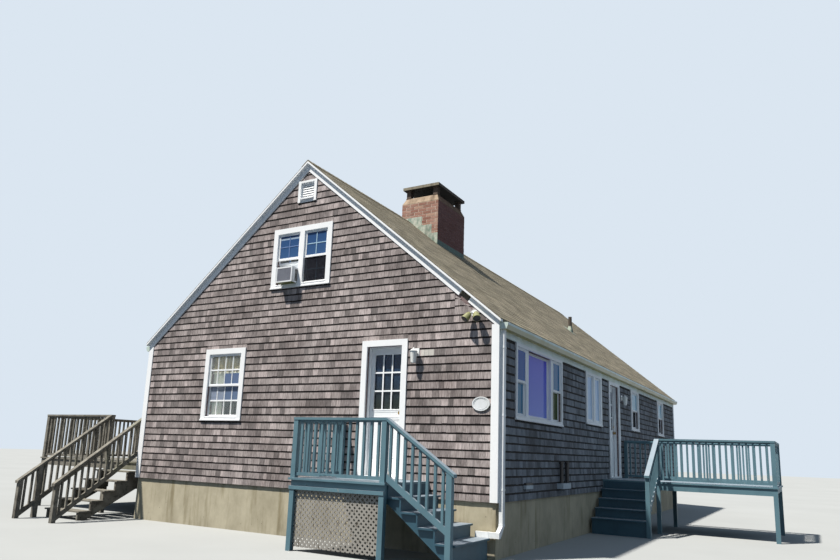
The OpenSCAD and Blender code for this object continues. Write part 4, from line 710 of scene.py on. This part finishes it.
def shingle_pieces(wall, looks):
    """Every shingle of one wall, course by course."""
    chance = np.random.default_rng(looks.seed + sorted(WALL_TURN).index(wall))
    gable, lap, pieces = wall in ("front", "rear"), 26, []
    top = RIDGE - RAKE_BAND if gable else FRIEZE
    lines = [z for z in LINES if z < top - 15]
    for z, above in zip(lines, lines[1:] + [top]):
        z1 = min(above, top)
        reach = min(HALF_W - CORNER, (top - z) / PITCH + 20)
        spans = [(-reach, reach, z, z1) if gable else (CORNER, LENGTH - CORNER, z, z1)]
        for hole in wall_holes(wall):
            spans = cut_course(spans, hole)
        for u, u1, low, high in spans:
            while u < u1 - 4:
                width = chance.uniform(looks.narrow, looks.wide) * 1000
                if u1 - u - width < 50:
                    width = u1 - u
                drop = chance.normal(0, 1.4) if low == z else 0.0
                length = high - low + (lap if high == z1 and z1 < top - 5 else 0)
                turn = (chance.normal(0, 0.004), chance.normal(0, 0.006) if width > 60 else 0.0, WALL_TURN[wall])
                pieces.append((on_wall(wall, u + width / 2, 0, low + drop), (width - chance.uniform(1, 4)) / 1000,
                               (length - drop) / 1000, turn))
                u += width
    return pieces


def cut_shingles(looks):
    """The shingles under the missing piece of the rake board, cut along the slope."""
    chance = np.random.default_rng(looks.seed + 40)
    work = Solids()
    tint = work.mesh.verts.layers.float.new("tint")
    start, end, depth = BARE_STRIP
    lines = LINES[BARE_COURSE:BARE_COURSE + 5]
    for low, above in zip(lines, lines[1:]):
        u = start
        while u < end - 4:
            width = min(chance.uniform(looks.narrow, looks.wide) * 1000, end - u)
            far = u + width - 2
            heights = [min(above + 20, roof_top(x) - depth) for x in (u, far)]
            if max(heights) > low + 12:
                left, right = (max(height, low + 3) for height in heights)
                outline = [on_wall("front", x, 0, z) for x, z in ((u, low), (far, low), (far, right), (u, left))]
                tone = chance.uniform(0.2, 0.9)
                for corner in work.prism(outline, (0, -0.008, 0)):
                    corner[tint] = tone
            u += width
    work.make("cut_shingles", "cedar_shingle", slot="wall_shingle")


# settings


def length(label, says, default, low, high):
    """A setting that is a length in metres."""
    return FloatProperty(name=label, description=says, default=default, min=low, max=high, subtype="DISTANCE",
                         unit="LENGTH")


def colour(label, says, default):
    """A setting that is an sRGB colour."""
    return FloatVectorProperty(name=label, description=says, default=default, min=0.0, max=1.0, size=3,
                               subtype="COLOR_GAMMA")


class HouseLooks(PropertyGroup):
    """Sizes and colours of the shingled house."""
    seed: IntProperty(name="Seed", description="Fixes every random width and tint", default=7, min=0)
    narrow: length("Narrowest shingle", "Width of the narrowest wall shingle", 0.065, 0.05, 0.2)
    wide: length("Widest shingle", "Width of the widest wall shingle", 0.130, 0.1, 0.35)
    butt: length("Shingle butt", "Thickness of the lower edge of a wall shingle", 0.012, 0.006, 0.02)
    tab: length("Roof tab width", "Width of one tab of the roof shingles", 0.305, 0.2, 0.4)
    tab_exposure: length("Roof exposure", "Length of one roof tab that shows", 0.127, 0.1, 0.18)
    wall_shingle: colour("Wall shingles", "Middle tone of the weathered cedar", (0.695, 0.655, 0.645))
    roof_shingle: colour("Roof shingles", "Middle tone of the roof granules", (0.57, 0.54, 0.47))
    deck_paint: colour("Deck paint", "Colour of the stoop and side deck", (0.36, 0.49, 0.535))
    bare_deck: colour("Bare deck timber", "Light tone of the unpainted deck", (0.55, 0.535, 0.49))

    def hex(self, name, amount=1.0):
        """A colour of the settings as hex, made lighter or darker by a factor."""
        return "#" + "".join(f"{round(max(0.0, min(1.0, c * amount)) * 255):02x}" for c in getattr(self, name))

    def ramp(self, name, tones):
        return [(place, self.hex(name, amount)) for place, amount in tones]


class StageLooks(PropertyGroup):
    """Light of the stage that the house is shown on."""
    key: FloatProperty(name="Key light", description="Strength of the soft key lamp", default=6.3, min=0.0, max=20.0)
    softness: FloatProperty(name="Softness", description="Apparent size of the key lamp",
                            default=math.radians(2), min=0.0, max=1.5, subtype="ANGLE", unit="ROTATION")
    fill: FloatProperty(name="Fill light", description="Strength of the light from all round",
                        default=0.37, min=0.0, max=2.0)
    lens: FloatProperty(name="Focal length", description="Focal length of the camera, in millimetres",
                        default=29.15, min=10.0, max=200.0)


# operators


class Step:
    """What every operator of the house shares."""
    bl_options = {"REGISTER", "UNDO"}

    @classmethod
    def poll(cls, context):
        return hasattr(context.scene, "beach_house_looks")

    def execute(self, context):
        self.build(context.scene.beach_house_looks)
        return {"FINISHED"}


class HOUSE_OT_wall_shingles(Step, Operator):
    """Lay cedar shingles on the four walls, course by course, round every casing"""
    bl_idname = "beach_house.wall_shingles"
    bl_label = "Wall Shingles"

    def build(self, looks):
        for index, wall in enumerate(("front", "right", "rear", "left")):
            lay(f"{wall}_shingles", shingle_pieces(wall, looks), "cedar_shingle", looks.butt, 0.003,
                looks.seed + index)
        cut_shingles(looks)


class HOUSE_OT_roof_shingles(Step, Operator):
    """Lay asphalt tabs on both slopes and along the ridge, round the chimney"""
    bl_idname = "beach_house.roof_shingles"
    bl_label = "Roof Shingles"

    def build(self, looks):
        chance = np.random.default_rng(looks.seed)
        secant = math.hypot(1.0, PITCH)
        step, tab, gap = looks.tab_exposure * 1000, looks.tab * 1000, 6
        c0, c1, cy0, cy1 = CHIMNEY
        front, rear = -RAKE_REACH, LENGTH + RAKE_REACH
        for side, name in ((1, "right"), (-1, "left")):
            beside = (c1 if side > 0 else -c0) + gap
            turn = facing((side * PITCH, 0, 1), (-side, 0, PITCH))
            pieces = []
            for course in range(math.ceil((EAVE_X * secant - 30) / step)):
                x = EAVE_X - course * step / secant
                y = front - (tab / 2 if course % 2 else 0)
                while y < rear:
                    y0, y1 = max(y, front), min(y + tab, rear)
                    spans = [(y0, y1)]
                    if max(0.0, x - step / secant) < beside:
                        spans = [s for s in ((y0, min(y1, cy0 - gap)), (max(y0, cy1 + gap), y1)) if s[1] - s[0] > 20]
                    for a, b in spans:
                        if b - a >= 15:
                            tab_length = min(step + 25, x * secant) + chance.normal(0, 1.2)
                            pieces.append((row(side * x, (a + b) / 2, roof_top(x)), (b - a - 3) / 1000,
                                           tab_length / 1000, turn))
                    y += tab
            lay(f"roof_tabs_{name}", pieces, "asphalt_shingle", 0.006, 0.002, looks.seed + side)
        caps, centre = [], 66
        for side in (1, -1):
            for y in np.arange(front, rear - 20, 140):
                if not cy0 - 150 < y < cy1 + 10:
                    caps.append((row(side * centre, y, roof_top(centre) + 11), 0.168, min(165, rear - y) / 1000,
                                 facing((side * PITCH, 0, 1), (0, 1, 0))))
        lay("ridge_tabs", caps, "asphalt_shingle", 0.007, 0.002, looks.seed + 5)


class HOUSE_OT_bricks(Step, Operator):
    """Lay the bricks of the stack in running bond over its mortar"""
    bl_idname = "beach_house.bricks"
    bl_label = "Bricks"

    def build(self, looks):
        chance = np.random.default_rng(looks.seed + 11)
        x0, x1, y0, y1 = CHIMNEY
        height, joint, brick = 57, 12, 198
        pieces = []
        for a, b, out in (((x0, y0), (x1, y0), (0, -1, 0)), ((x1, y0), (x1, y1), (1, 0, 0)),
                          ((x1, y1), (x0, y1), (0, 1, 0)), ((x0, y1), (x0, y0), (-1, 0, 0))):
            a, b = Vector(a), Vector(b)
            span = (b - a).length
            z, course = WASH - 4 - height, 0
            while z > roof_top(x1) - 90:
                s = -brick / 2 if course % 2 else 0.0
                while s < span - 2:
                    s0, s1 = max(s, 1), min(s + brick, span - 1)
                    middle = a.lerp(b, (s0 + s1) / 2 / span)
                    if s1 - s0 > 25 and z + height > roof_top(middle.x) - 60:
                        pieces.append((row(middle.x, middle.y, z + chance.normal(0, 0.8)), (s1 - s0) / 1000,
                                       height / 1000, facing(out, UP)))
                    s += brick + joint
                z -= height + joint
                course += 1
        lay("stack_bricks", pieces, "fired_brick", 0.0032, 0.0032, 3)


class HOUSE_OT_window_bars(Step, Operator):
    """Set the bars and putty of the sashes, the meeting-rail locks, an insect screen and the sills"""
    bl_idname = "beach_house.window_bars"
    bl_label = "Window Bars"

    def build(self, looks):
        bars, left_grid, right_grid = Solids(), Solids(), Solids()
        for window in WINDOWS:
            wall, sill, head = window.wall, window.sill, window.head
            middle = (sill + head) / 2
            half_bar = 13 if len(window.units) == 1 else 8
            for index, (u0, u1) in enumerate(window.units):
                raised = RAISED_SASH if window is UPPER and index == 0 else 0
                fixed = len(window.units) == 3 and index == 1
                grid = (left_grid, right_grid)[index] if window is UPPER else bars
                sashes = [(MIDDLE_SETBACK if fixed else SETBACK, sill, head)]
                if window.slides and not fixed:
                    sashes = [(SETBACK, middle - SASH_W / 2, head),
                              (SETBACK + SASH_T + 2, sill + raised, middle + SASH_W / 2 + raised)]
                for v, z0, z1 in sashes:
                    a, b, low, high = u0 + SASH_W, u1 - SASH_W, z0 + SASH_W, z1 - SASH_W
                    # glazing putty inside the frame
                    bars.border(wall, a, b, v + 3, v + 9, low, high, 7)
                    columns, rows = window.lights
                    for i in range(1, columns):
                        u = a + (b - a) * i / columns
                        grid.wall_box(wall, u - 8, u + 8, v + 2, v + SASH_T - 6, low - 1, high + 1)
                    for i in range(1, rows):
                        z = low + (high - low) * i / rows
                        grid.wall_box(wall, a - 1, b + 1, v + 3, v + SASH_T - 7, z - half_bar, z + half_bar)
                if window.slides:
                    u, v = (u0 + u1) / 2, SETBACK + 2 * SASH_T
                    bars.wall_box(wall, u - 22, u + 22, v + 2, v + 12, middle - 8, middle + 8)
        # painted shade: the upper window's white bars are drawn blue grey, darker on the left unit
        for solids, name, material in ((bars, "window_bars", "white_paint"), (left_grid, "left_grille", "dim_grille"),
                                       (right_grid, "right_grille", "pale_grille")):
            solids.make(name, material, slot="white_paint", bevel=0.0015)
        # an insect screen hangs before the lower sash of the right upper unit
        gauze, rim = Solids(), Solids()
        u0, u1 = UPPER.units[1][0] + 8, UPPER.units[1][1] - 8
        low, high = UPPER.sill + 9, (UPPER.sill + UPPER.head) / 2 - SASH_W / 2 - 1
        gauze.wall_box("front", u0, u1, 14, 15, low, high)
        rim.wall_box("front", u1 - 14, u1, 10, 18, low, high)
        rim.wall_box("front", u0, u1, 10, 18, low, low + 14)
        gauze.make("insect_screen", "wire_gauze")
        rim.make("screen_rim", "white_paint", slot="white_paint", bevel=0.001)
        sills = Solids()
        for window in WINDOWS:
            wall, u, sill, half = window.wall, window.u, window.sill, window.half + window.casing + 6
            # the sloping sill between the casings
            for u0, u1 in window.units:
                outline = [on_wall(wall, u0, v, sill + z) for v, z in ((-34, -16), (-34, -4), (SETBACK, 8),
                                                                       (SETBACK, -16))]
                sills.prism(outline, on_wall(wall, u1, 0, 0) - on_wall(wall, u0, 0, 0))
            sills.wall_box(wall, u - half, u + half, -40, -2, sill - 68, sill - 44)
        sills.make("window_sills", "white_paint", slot="white_paint", bevel=0.002)


def fold(t, waves):
    """How far a gathered sheet swings, from -1 to 1, at a share t of its width."""
    return math.sin(2 * math.pi * waves * t + 0.6 * math.sin(5 * t))


def cloth(name, material, u0, u1, v, z0, z1, waves, depth):
    """A gathered sheet in the front wall, as deep as its folds; returns the object and its cut width and height."""
    steps, rows = waves * 12, 10
    points = []
    for j in range(rows + 1):
        for i in range(steps + 1):
            wave = fold(i / steps, waves) * depth * (0.75 + 0.25 * j / rows)
            points.append(on_wall("front", u0 + (u1 - u0) * i / steps, v + wave, z1 + (z0 - z1) * j / rows))
    corners = [j * (steps + 1) + i for j in range(rows) for i in range(steps)]
    data = bpy.data.meshes.new(name)
    data.from_pydata(points, [], [(k, k + 1, k + steps + 2, k + steps + 1) for k in corners])
    area = sum(face.area for face in data.polygons)
    data.materials.append(finish(material))
    data.polygons.foreach_set("use_smooth", [True] * len(data.polygons))
    made = stand(name, data)
    thick = made.modifiers.new("Cloth thickness", "SOLIDIFY")
    thick.thickness, thick.offset = 0.0008, 0.0
    height = (z1 - z0) / 1000
    return made, (area / height, height)


class HOUSE_OT_curtains(Step, Operator):
    """Hang the valance, its bobble fringe and the sheer curtain in the lower front window"""
    bl_idname = "beach_house.curtains"
    bl_label = "Curtains"

    def build(self, looks):
        # inside the frame: seen from the photo's side the valance starts 87 mm in from the left jamb
        u, v, head, half = LOWER.u, 85, LOWER.head, LOWER.half
        waves, depth, left, width = 9, 11, u - half + 4, 2 * half - 8
        rod = Solids()
        rod.turned(on_wall("front", u - half + 1, v, head - 12), (1, 0, 0),
                   [(0, 0.006), ((2 * half - 2) / 1000, 0.006)], 12)
        rail = rod.make("curtain_rod", "old_brass", slot="brass")
        valance, cut = cloth("valance", "ochre_cotton", left, left + width, v, head - 315, head - 4, waves, depth)
        balls, count = Solids(), 26
        for i in range(count):
            t = (i + 0.5) / count
            balls.turned(on_wall("front", left + width * t, v + fold(t, waves) * depth, head - 329), UP,
                         [(-0.013, 0.001), (-0.009, 0.01), (0, 0.014), (0.009, 0.01), (0.022, 0.0015)], 10)
        fringe = balls.make("bobble_fringe", "white_cotton", smooth=True)
        sheer, cut = cloth("left_sheer", "sheer_voile", left + 2, u - 110, v + 34, LOWER.sill + 12, head - 14, 6, 13)


class HOUSE_OT_door_parts(Step, Operator):
    """Fit mouldings, glazing bars and lock plates to the two hinged doors"""
    bl_idname = "beach_house.door_parts"
    bl_label = "Door Parts"

    def build(self, looks):
        for wall, (start, end), body in (("front", GABLE_DOOR, "gable_door"), ("right", SIDE_DOOR, "side_door")):
            face = WALL - LEAF_T
            a, b = start + LEAF_GAP + STILE, end - LEAF_GAP - STILE
            top = LEAF_TOP - TOP_RAIL
            low = top - DOOR_GLASS
            parts = Solids()
            # three lights across and three down, barred on both faces
            for v0, v1 in ((face - 6, face + 8), (WALL - 8, WALL + 6)):
                for i in (1, 2):
                    u = a + (b - a) * i / 3
                    parts.wall_box(wall, u - 12, u + 12, v0 + 4, v1 - 1, low - 1, top + 1)
                for i in (1, 2):
                    z = low + (top - low) * i / 3
                    parts.wall_box(wall, a - 1, b + 1, v0 + 5, v1 - 1, z - 12, z + 12)
                parts.border(wall, a - 16, b + 16, v0, v1 - 4, low - 16, top + 16, 20)
            # panel mouldings under the glass
            panel = (b - a - STILE) / 2
            z0, z1 = LEAF_Z + 230, low - 150
            for p in (a, a + panel + STILE):
                parts.border(wall, p - 1, p + panel + 1, face + 2, face + 11, z0 - 1, z1 + 1, 15, 1)
                parts.wall_box(wall, p + 26, p + panel - 26, face + 4, face + 11, z0 + 26, z1 - 26)
            for z in (low - 118, low - 42):
                parts.wall_box(wall, a - 6, b + 6, face - 4, face + 2, z, z + 6)
            parts.make(f"{body}_mouldings", "white_paint", body, "white_paint", 0.002)
            metal = Solids()
            u = end - LEAF_GAP - 42
            for v, out in ((face, -1), (WALL, 1)):
                axis = (on_wall(wall, u, v + out, 0) - on_wall(wall, u, v, 0)).normalized()
                metal.turned(on_wall(wall, u, v, LEAF_Z + 930), axis, [(0, 0.031), (0.004, 0.031), (0.007, 0.024)], 28)
                metal.turned(on_wall(wall, u, v, LEAF_Z + 1060), axis,
                             [(0, 0.02), (0.006, 0.02), (0.012, 0.014), (0.016, 0.013)])
            metal.make(f"{body}_lock", "old_brass", body, "brass")


class HOUSE_OT_deck_boards(Step, Operator):
    """Lay the boards of the three decks, with gaps between them"""
    bl_idname = "beach_house.deck_boards"
    bl_label = "Deck Boards"

    def build(self, looks):
        chance = np.random.default_rng(looks.seed + 21)
        # each deck, its finish and slot, the axis that its boards lie along, and their width
        for node, material, slot, along, board in (("stoop_platform", "teal_paint", "teal_timber", 0, 138),
                                                   ("side_deck", "teal_paint", "teal_timber", 0, 138),
                                                   ("left_deck", "grey_timber", "grey_timber", 1, 140)):
            low, high = (Vector(corner) * 1000 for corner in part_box(node))
            across = 1 - along
            count = round((high[across] - low[across]) / board)
            pitch = (high[across] - low[across]) / count
            pieces = []
            for i in range(count):
                place = [0.0, 0.0, high[2]]
                place[across] = low[across] + (i + 0.5) * pitch
                place[along] = low[along] + abs(chance.normal(0, 1.0))
                pieces.append((Vector(place) / 1000, (pitch - 6) / 1000, (high[along] - place[along] - 1) / 1000,
                               facing(UP, (across, along, 0))))
            lay(f"{node}_boards", pieces, material, 0.004, 0.004, 31)


class HOUSE_OT_fittings(Step, Operator):
    """Add what the plain fittings carry: fins, lamp glass, plaque rim, pipe boot, gutter hangers and pipe bands"""
    bl_idname = "beach_house.fittings"
    bl_label = "Fittings"

    def build(self, looks):
        for part in (self.cooler, self.lanterns, self.floodlight, self.plaque, self.pipe_boot, self.rain_goods,
                     self.pier_mortar):
            part()

    def cooler(self):
        """Fins, vents, front edge and side pleats of the window cooler."""
        x1, z0 = UPPER.u - 54, COOLER_Z
        x0 = x1 - COOLER_W
        fins, case, vents = Solids(), Solids(), Solids()
        for i in range(38):
            x = x0 + 30 + i * (COOLER_W - 60) / 37
            fins.wall_box("front", x - 1.2, x + 1.2, -168, -161.5, z0 + 30, z0 + 238)
        fins.wall_box("front", x0 + 22, x1 - 22, -163, -161, z0 + 22, z0 + 244)
        fins.make("cooler_fins", "coil_fins", slot="white_plastic")
        for i in range(9):
            case.wall_box("front", x0 - 2, x0, -140 + i * 13, -133 + i * 13, z0 + 60, z0 + 215)
        # painted shade: thin dark slats for the shaded openings of the side vents
        for i in range(6):
            vents.wall_box("front", x1, x1 + 1.5, -88 + i * 13, -79 + i * 13, z0 + 28, z0 + 236)
        vents.make("cooler_vents", "dark_grille")
        case.wall_box("front", x0 - 3, x1 + 3, -169.8, -158, z0 + 246, z0 + 269.5)
        # pleats of the side panel
        for i in range(7):
            x = UPPER.units[0][0] + 5 + i * 13
            case.wall_box("front", x, x + 7, 52, 61, z0 + 4, z0 + 350)
        case.make("cooler_case", "moulded_plastic", slot="white_plastic", bevel=0.001)

    def lanterns(self):
        """The cage of bars and the glass sleeve of the two wall lanterns."""
        metal, sleeve = Solids(), Solids()
        for wall, u, z in LANTERNS:
            foot = on_wall(wall, u, -90, z + 20)
            metal.turned(foot - Vector((0, 0, 0.012)), UP, [(0, 0.012), (0.004, 0.03), (0.012, 0.042), (0.016, 0.042)])
            for i in range(6):
                x, y = math.cos(math.pi * i / 3), math.sin(math.pi * i / 3)
                metal.turned(foot + Vector((x, y, 0)) * 0.041, (x * 0.1, y * 0.1, 1), [(0, 0.0022), (0.168, 0.0022)], 8)
            metal.turned(foot + Vector((0, 0, 0.205)), UP, [(0, 0.012), (0.01, 0.014), (0.018, 0.006)], 16)
            sleeve.turned(foot + Vector((0, 0, 0.004)), UP, [(0, 0.0402), (0.142, 0.0538)], 32)
        metal.make("lantern_cages", "white_enamel", slot="white_metal")
        sleeve.make("lantern_glass", "lamp_glass")

    def floodlight(self):
        """The olive shades of the floodlight's two heads, and in the mouth of each a nearly black disc: painted shade.
        """
        glass, shades = Solids(), Solids()
        z = roof_top(FLOOD_X) - RAKE_BAND - FLOOD_DROP
        for side in (-1, 1):
            turn = (Matrix.Rotation(math.radians(side * FLOOD_TURN), 4, "Z")
                    @ Matrix.Rotation(math.radians(FLOOD_TILT), 4, "X"))
            axis = (turn @ Vector((0, 0, 1, 0))).to_3d()
            base = row(FLOOD_X + side * 50, -FLOOD_REACH, z - 10)
            # painted shade: a nearly black disc in the mouth of the head
            glass.turned(base + axis * 0.122, axis, [(0, 0.052), (0.003, 0.052), (0.006, 0.03), (0.008, 0.004)], 28)
            shades.turned(base, axis, [(-0.004, 0.02), (-0.002, 0.0305), (0.001, 0.031), (0.04, 0.0468),
                                       (0.119, 0.0587), (0.126, 0.0592), (0.126, 0.0545), (0.12, 0.0545),
                                       (0.118, 0.02)], 32)
        glass.make("flood_reflectors", "lamp_reflector", slot="white_metal")
        shades.make("flood_shades", "lamp_enamel", slot="white_metal")

    def plaque(self):
        """The plaque's two raised oval bands and its two screws."""
        rim, count = Solids(), 48
        centre = row(HALF_W - 244, -24.3, FLOOR + 1090)
        turns = [2 * math.pi * i / count for i in range(count)]
        for inner, outer, front in ((0.86, 1.0, 5.0), (0.74, 0.77, 3.0)):
            rim.join([[rim.mesh.verts.new(centre + Vector((math.cos(turn) * 0.136 * radius, -depth / 1000,
                                                           math.sin(turn) * 0.10 * radius))) for turn in turns]
                      for radius, depth in ((inner, 0), (inner, front), (outer, front), (outer, 0))], True)
        for side in (-1, 1):
            rim.turned(centre + Vector((0, 0, side * 0.078)), (0, -1, 0), [(0, 0.006), (0.002, 0.006), (0.004, 0.003)],
                       12)
        rim.make("plaque_rim", "moulded_plastic", slot="white_plastic")

    def pipe_boot(self):
        """The lead flashing of the vent pipe: a sheet on the slope and a sleeve up the pipe."""
        boot = Solids()
        x, y = VENT_PIPE
        out, up = Vector((PITCH, 0, 1)).normalized(), Vector((-1, 0, PITCH)).normalized()
        centre = row(x, y, roof_top(x)) + out * 0.007
        boot.prism([centre + up * a + Vector((0, b, 0)) for a, b in ((-0.16, -0.15), (-0.16, 0.15), (0.2, 0.15),
                                                                     (0.2, -0.15))], out * 0.003)
        boot.turned(row(x, y, roof_top(x) - 60), UP, [(0, 0.075), (0.09, 0.07), (0.16, 0.052), (0.19, 0.049),
                                                      (0.19, 0.0455), (0, 0.0455)], 32)
        boot.make("pipe_boot", "lead_sheet", slot="lead_sheet")

    def rain_goods(self):
        """Hangers and joint bands of the gutters, and the bands of the downspout."""
        metal = Solids()
        top = roof_top(EAVE_X) - 39 - 8
        for side in (1, -1):
            inner, outer = side * GUTTER_BACK, side * (GUTTER_BACK + GUTTER_W)
            for y in np.arange(400, LENGTH - 200, 900):
                metal.box(row(inner, y, top - 3), row(outer + side * 2, y + 22, top))
            for y in (20, 3100, 6150, 9200, 12250, LENGTH - 40):
                metal.box(row(outer, y, top - 34), row(outer + side * 2.5, y + 40, top + 1))
        for z in (900, 1900, 2850):
            metal.box(row(GUTTER_BACK - 4, 26, z), row(GUTTER_BACK + 58, 110, z + 26))
        metal.box(row(GUTTER_BACK - 3, 27, 436), row(GUTTER_BACK + 57, 109, 470))
        metal.box(row(3530, -79.6, 286), row(3560, -18.5, 368))
        metal.make("rain_goods", "white_enamel", slot="white_metal", bevel=0.001)

    def pier_mortar(self):
        """Beds of mortar at the foot and the head of the four piers."""
        chance = np.random.default_rng(5)
        mortar, bed, reach = Solids(), 0.012, PIER_W + 0.02
        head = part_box("chimney_cap")[0][2] - bed
        low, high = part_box("chimney_wash")
        for x in (low[0] + PIER_INSET, high[0] - PIER_INSET - PIER_W):
            for y in (low[1] + PIER_INSET, high[1] - PIER_INSET - PIER_W):
                corners = [(x + a * reach - 0.01, y + b * reach - 0.01) for a, b in ((0, 0), (1, 0), (1, 1), (0, 1))]
                mortar.prism([(*corner, WASH / 1000 + 0.16) for corner in corners],
                             (0, 0, bed + abs(chance.normal(0, 0.004))))
                mortar.prism([(*corner, head) for corner in corners], (0, 0, bed))
        # the beds take the cement wash's painted shade from the cap
        mortar.make("pier_mortar", "cement_wash", slot="mortar", bevel=0.004)


class HOUSE_OT_finishes(Step, Operator):
    """Give every solid of the house its real finish"""
    bl_idname = "beach_house.finishes"
    bl_label = "Finishes"

    def build(self, looks):
        finishes = {
            "parged_concrete": "foundation",
            "floor_boards": "main_floor upper_floor",
            "wall_build": "front_wall_left front_wall_right front_gable door_headers right_wall_front "
                          "right_wall_rear left_wall rear_wall",
            "white_paint": "corner_boards rake_boards gable_vents window_casings window_sashes door_frames gable_door "
                           "side_door patio_door",
            # a cool-tinted copy of the white paint for the frieze: painted shade
            "soffit_paint": "frieze_boards",
            "gutter_enamel": "gutters",
            "white_enamel": "downspouts outdoor_lights",
            "lime_mortar": "chimney",
            "cement_wash": "chimney_wash",
            "cast_slab": "chimney_cap",
            "lead_sheet": "chimney_flashing",
            "cast_iron": "vent_pipe",
            "grey_steel": "utility_fittings",
            "float_glass": "window_glass",
            "clear_glass": "gable_door_glass side_door_glass",
            "old_brass": "gable_door_hardware side_door_hardware door_hinges",
            "moulded_plastic": "air_conditioner house_plaque",
            "teal_paint": "stoop_platform stoop_posts stoop_railing side_deck side_deck_posts side_deck_railing",
            # a darker copy of the teal paint for the steps: painted shade
            "teal_shade": "stoop_steps side_deck_steps",
            "lattice_paint": "stoop_lattice",
            "grey_timber": "left_deck left_deck_posts left_deck_railing left_deck_steps",
            "asphalt_shingle": "roof_left roof_right ridge_cap",
        }
        left = set(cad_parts)
        for name, nodes in finishes.items():
            for node in nodes.split():
                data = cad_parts[node].data
                data.materials.clear()
                data.materials.append(finish(name))
                left.discard(node)
        if left:
            raise RuntimeError(f"No finish for {sorted(left)}")


class HOUSE_OT_stage(Step, Operator):
    """Set the pale floor, the soft light and the camera"""
    bl_idname = "beach_house.stage"
    bl_label = "Stage"

    def build(self, looks):
        scene = bpy.context.scene
        light = scene.beach_house_stage
        half = 90.0
        data = bpy.data.meshes.new("floor")
        data.from_pydata([(-half, -half, 0), (half, -half, 0), (half, half, 0), (-half, half, 0)], [], [(0, 1, 2, 3)])
        floor = bpy.data.objects.new("floor", data)
        scene.collection.objects.link(floor)
        m = Finish("stage_floor", "#3d4349")
        # pale to the eye, but it throws little light up under the decks and eaves
        pale = m.blend(m.spread(m.noise(0.4, 3.0), 0.3, 0.7), "#a9abaa", "#a4a6a5")
        m.base = m.blend(m.seen(), m.base, pale)
        data.materials.append(m.end(1.0, Specular_IOR_Level=0.0))
        world = bpy.data.worlds.new("studio")
        world.use_nodes = True
        world.node_tree.nodes.clear()
        sky = Nodes(world.node_tree)
        fill = sky.add("ShaderNodeBackground", {"Color": "#c9e2ff", "Strength": light.fill})[0]
        backdrop = sky.add("ShaderNodeBackground", {"Color": "#dbe6f1", "Strength": 1.0})[0]
        sky.add("ShaderNodeOutputWorld", {0: sky.add("ShaderNodeMixShader", {0: sky.seen(), 1: fill, 2: backdrop})[0]})
        scene.world = world
        lamp = bpy.data.lights.new("key", "SUN")
        lamp.energy, lamp.angle, lamp.color = light.key, light.softness, linear("#fffaf2")[:3]
        key = bpy.data.objects.new("key", lamp)
        key.rotation_euler = Vector((0.29, 0.39, -0.87)).to_track_quat("-Z", "Y").to_euler()
        lens = bpy.data.cameras.new("photo_view")
        lens.lens, lens.sensor_width, lens.shift_y, lens.clip_end = light.lens, 36.0, 35 / 840, 400
        camera = bpy.data.objects.new("photo_view", lens)
        yaw, pitch, roll = (math.radians(a) for a in (-29.93, 11.47, 2.00))
        ahead = Vector((math.sin(yaw) * math.cos(pitch), math.cos(yaw) * math.cos(pitch), math.sin(pitch)))
        right = Vector((math.cos(yaw), -math.sin(yaw), 0))
        up = right.cross(ahead)
        side, top = right * math.cos(roll) + up * math.sin(roll), up * math.cos(roll) - right * math.sin(roll)
        turn = Matrix((side, top, -ahead)).transposed().to_4x4()
        camera.matrix_world = Matrix.Translation(row(7389, -8759, 1365)) @ turn
        for made in (key, camera):
            scene.collection.objects.link(made)
        scene.camera = camera
        scene.view_settings.view_transform = "Standard"


class HOUSE_PT_parts(Panel):
    """Sizes, colours and pieces of the beach house"""
    bl_label = "Beach House"
    bl_idname = "HOUSE_PT_parts"
    bl_space_type = "VIEW_3D"
    bl_region_type = "UI"
    bl_category = "Beach House"

    def draw(self, context):
        for group in (context.scene.beach_house_looks, context.scene.beach_house_stage):
            box = self.layout.box()
            for name in group.bl_rna.properties.keys():
                if name not in ("rna_type", "name"):
                    box.prop(group, name)
        for step in STEPS:
            self.layout.operator(step.bl_idname)


STEPS = (HOUSE_OT_finishes, HOUSE_OT_wall_shingles, HOUSE_OT_roof_shingles, HOUSE_OT_bricks, HOUSE_OT_window_bars,
         HOUSE_OT_curtains, HOUSE_OT_door_parts, HOUSE_OT_deck_boards, HOUSE_OT_fittings, HOUSE_OT_stage)
CLASSES = (HouseLooks, StageLooks) + STEPS + (HOUSE_PT_parts,)


def register():
    for cls in CLASSES:
        bpy.utils.register_class(cls)
    bpy.types.Scene.beach_house_looks = PointerProperty(type=HouseLooks)
    bpy.types.Scene.beach_house_stage = PointerProperty(type=StageLooks)


def unregister():
    del bpy.types.Scene.beach_house_stage
    del bpy.types.Scene.beach_house_looks
    for cls in reversed(CLASSES):
        bpy.utils.unregister_class(cls)


def main():
    """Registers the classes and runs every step."""
    register()
    for step in STEPS:
        group, name = step.bl_idname.split(".")
        getattr(getattr(bpy.ops, group), name)()


if __name__ == "__main__":
    main()
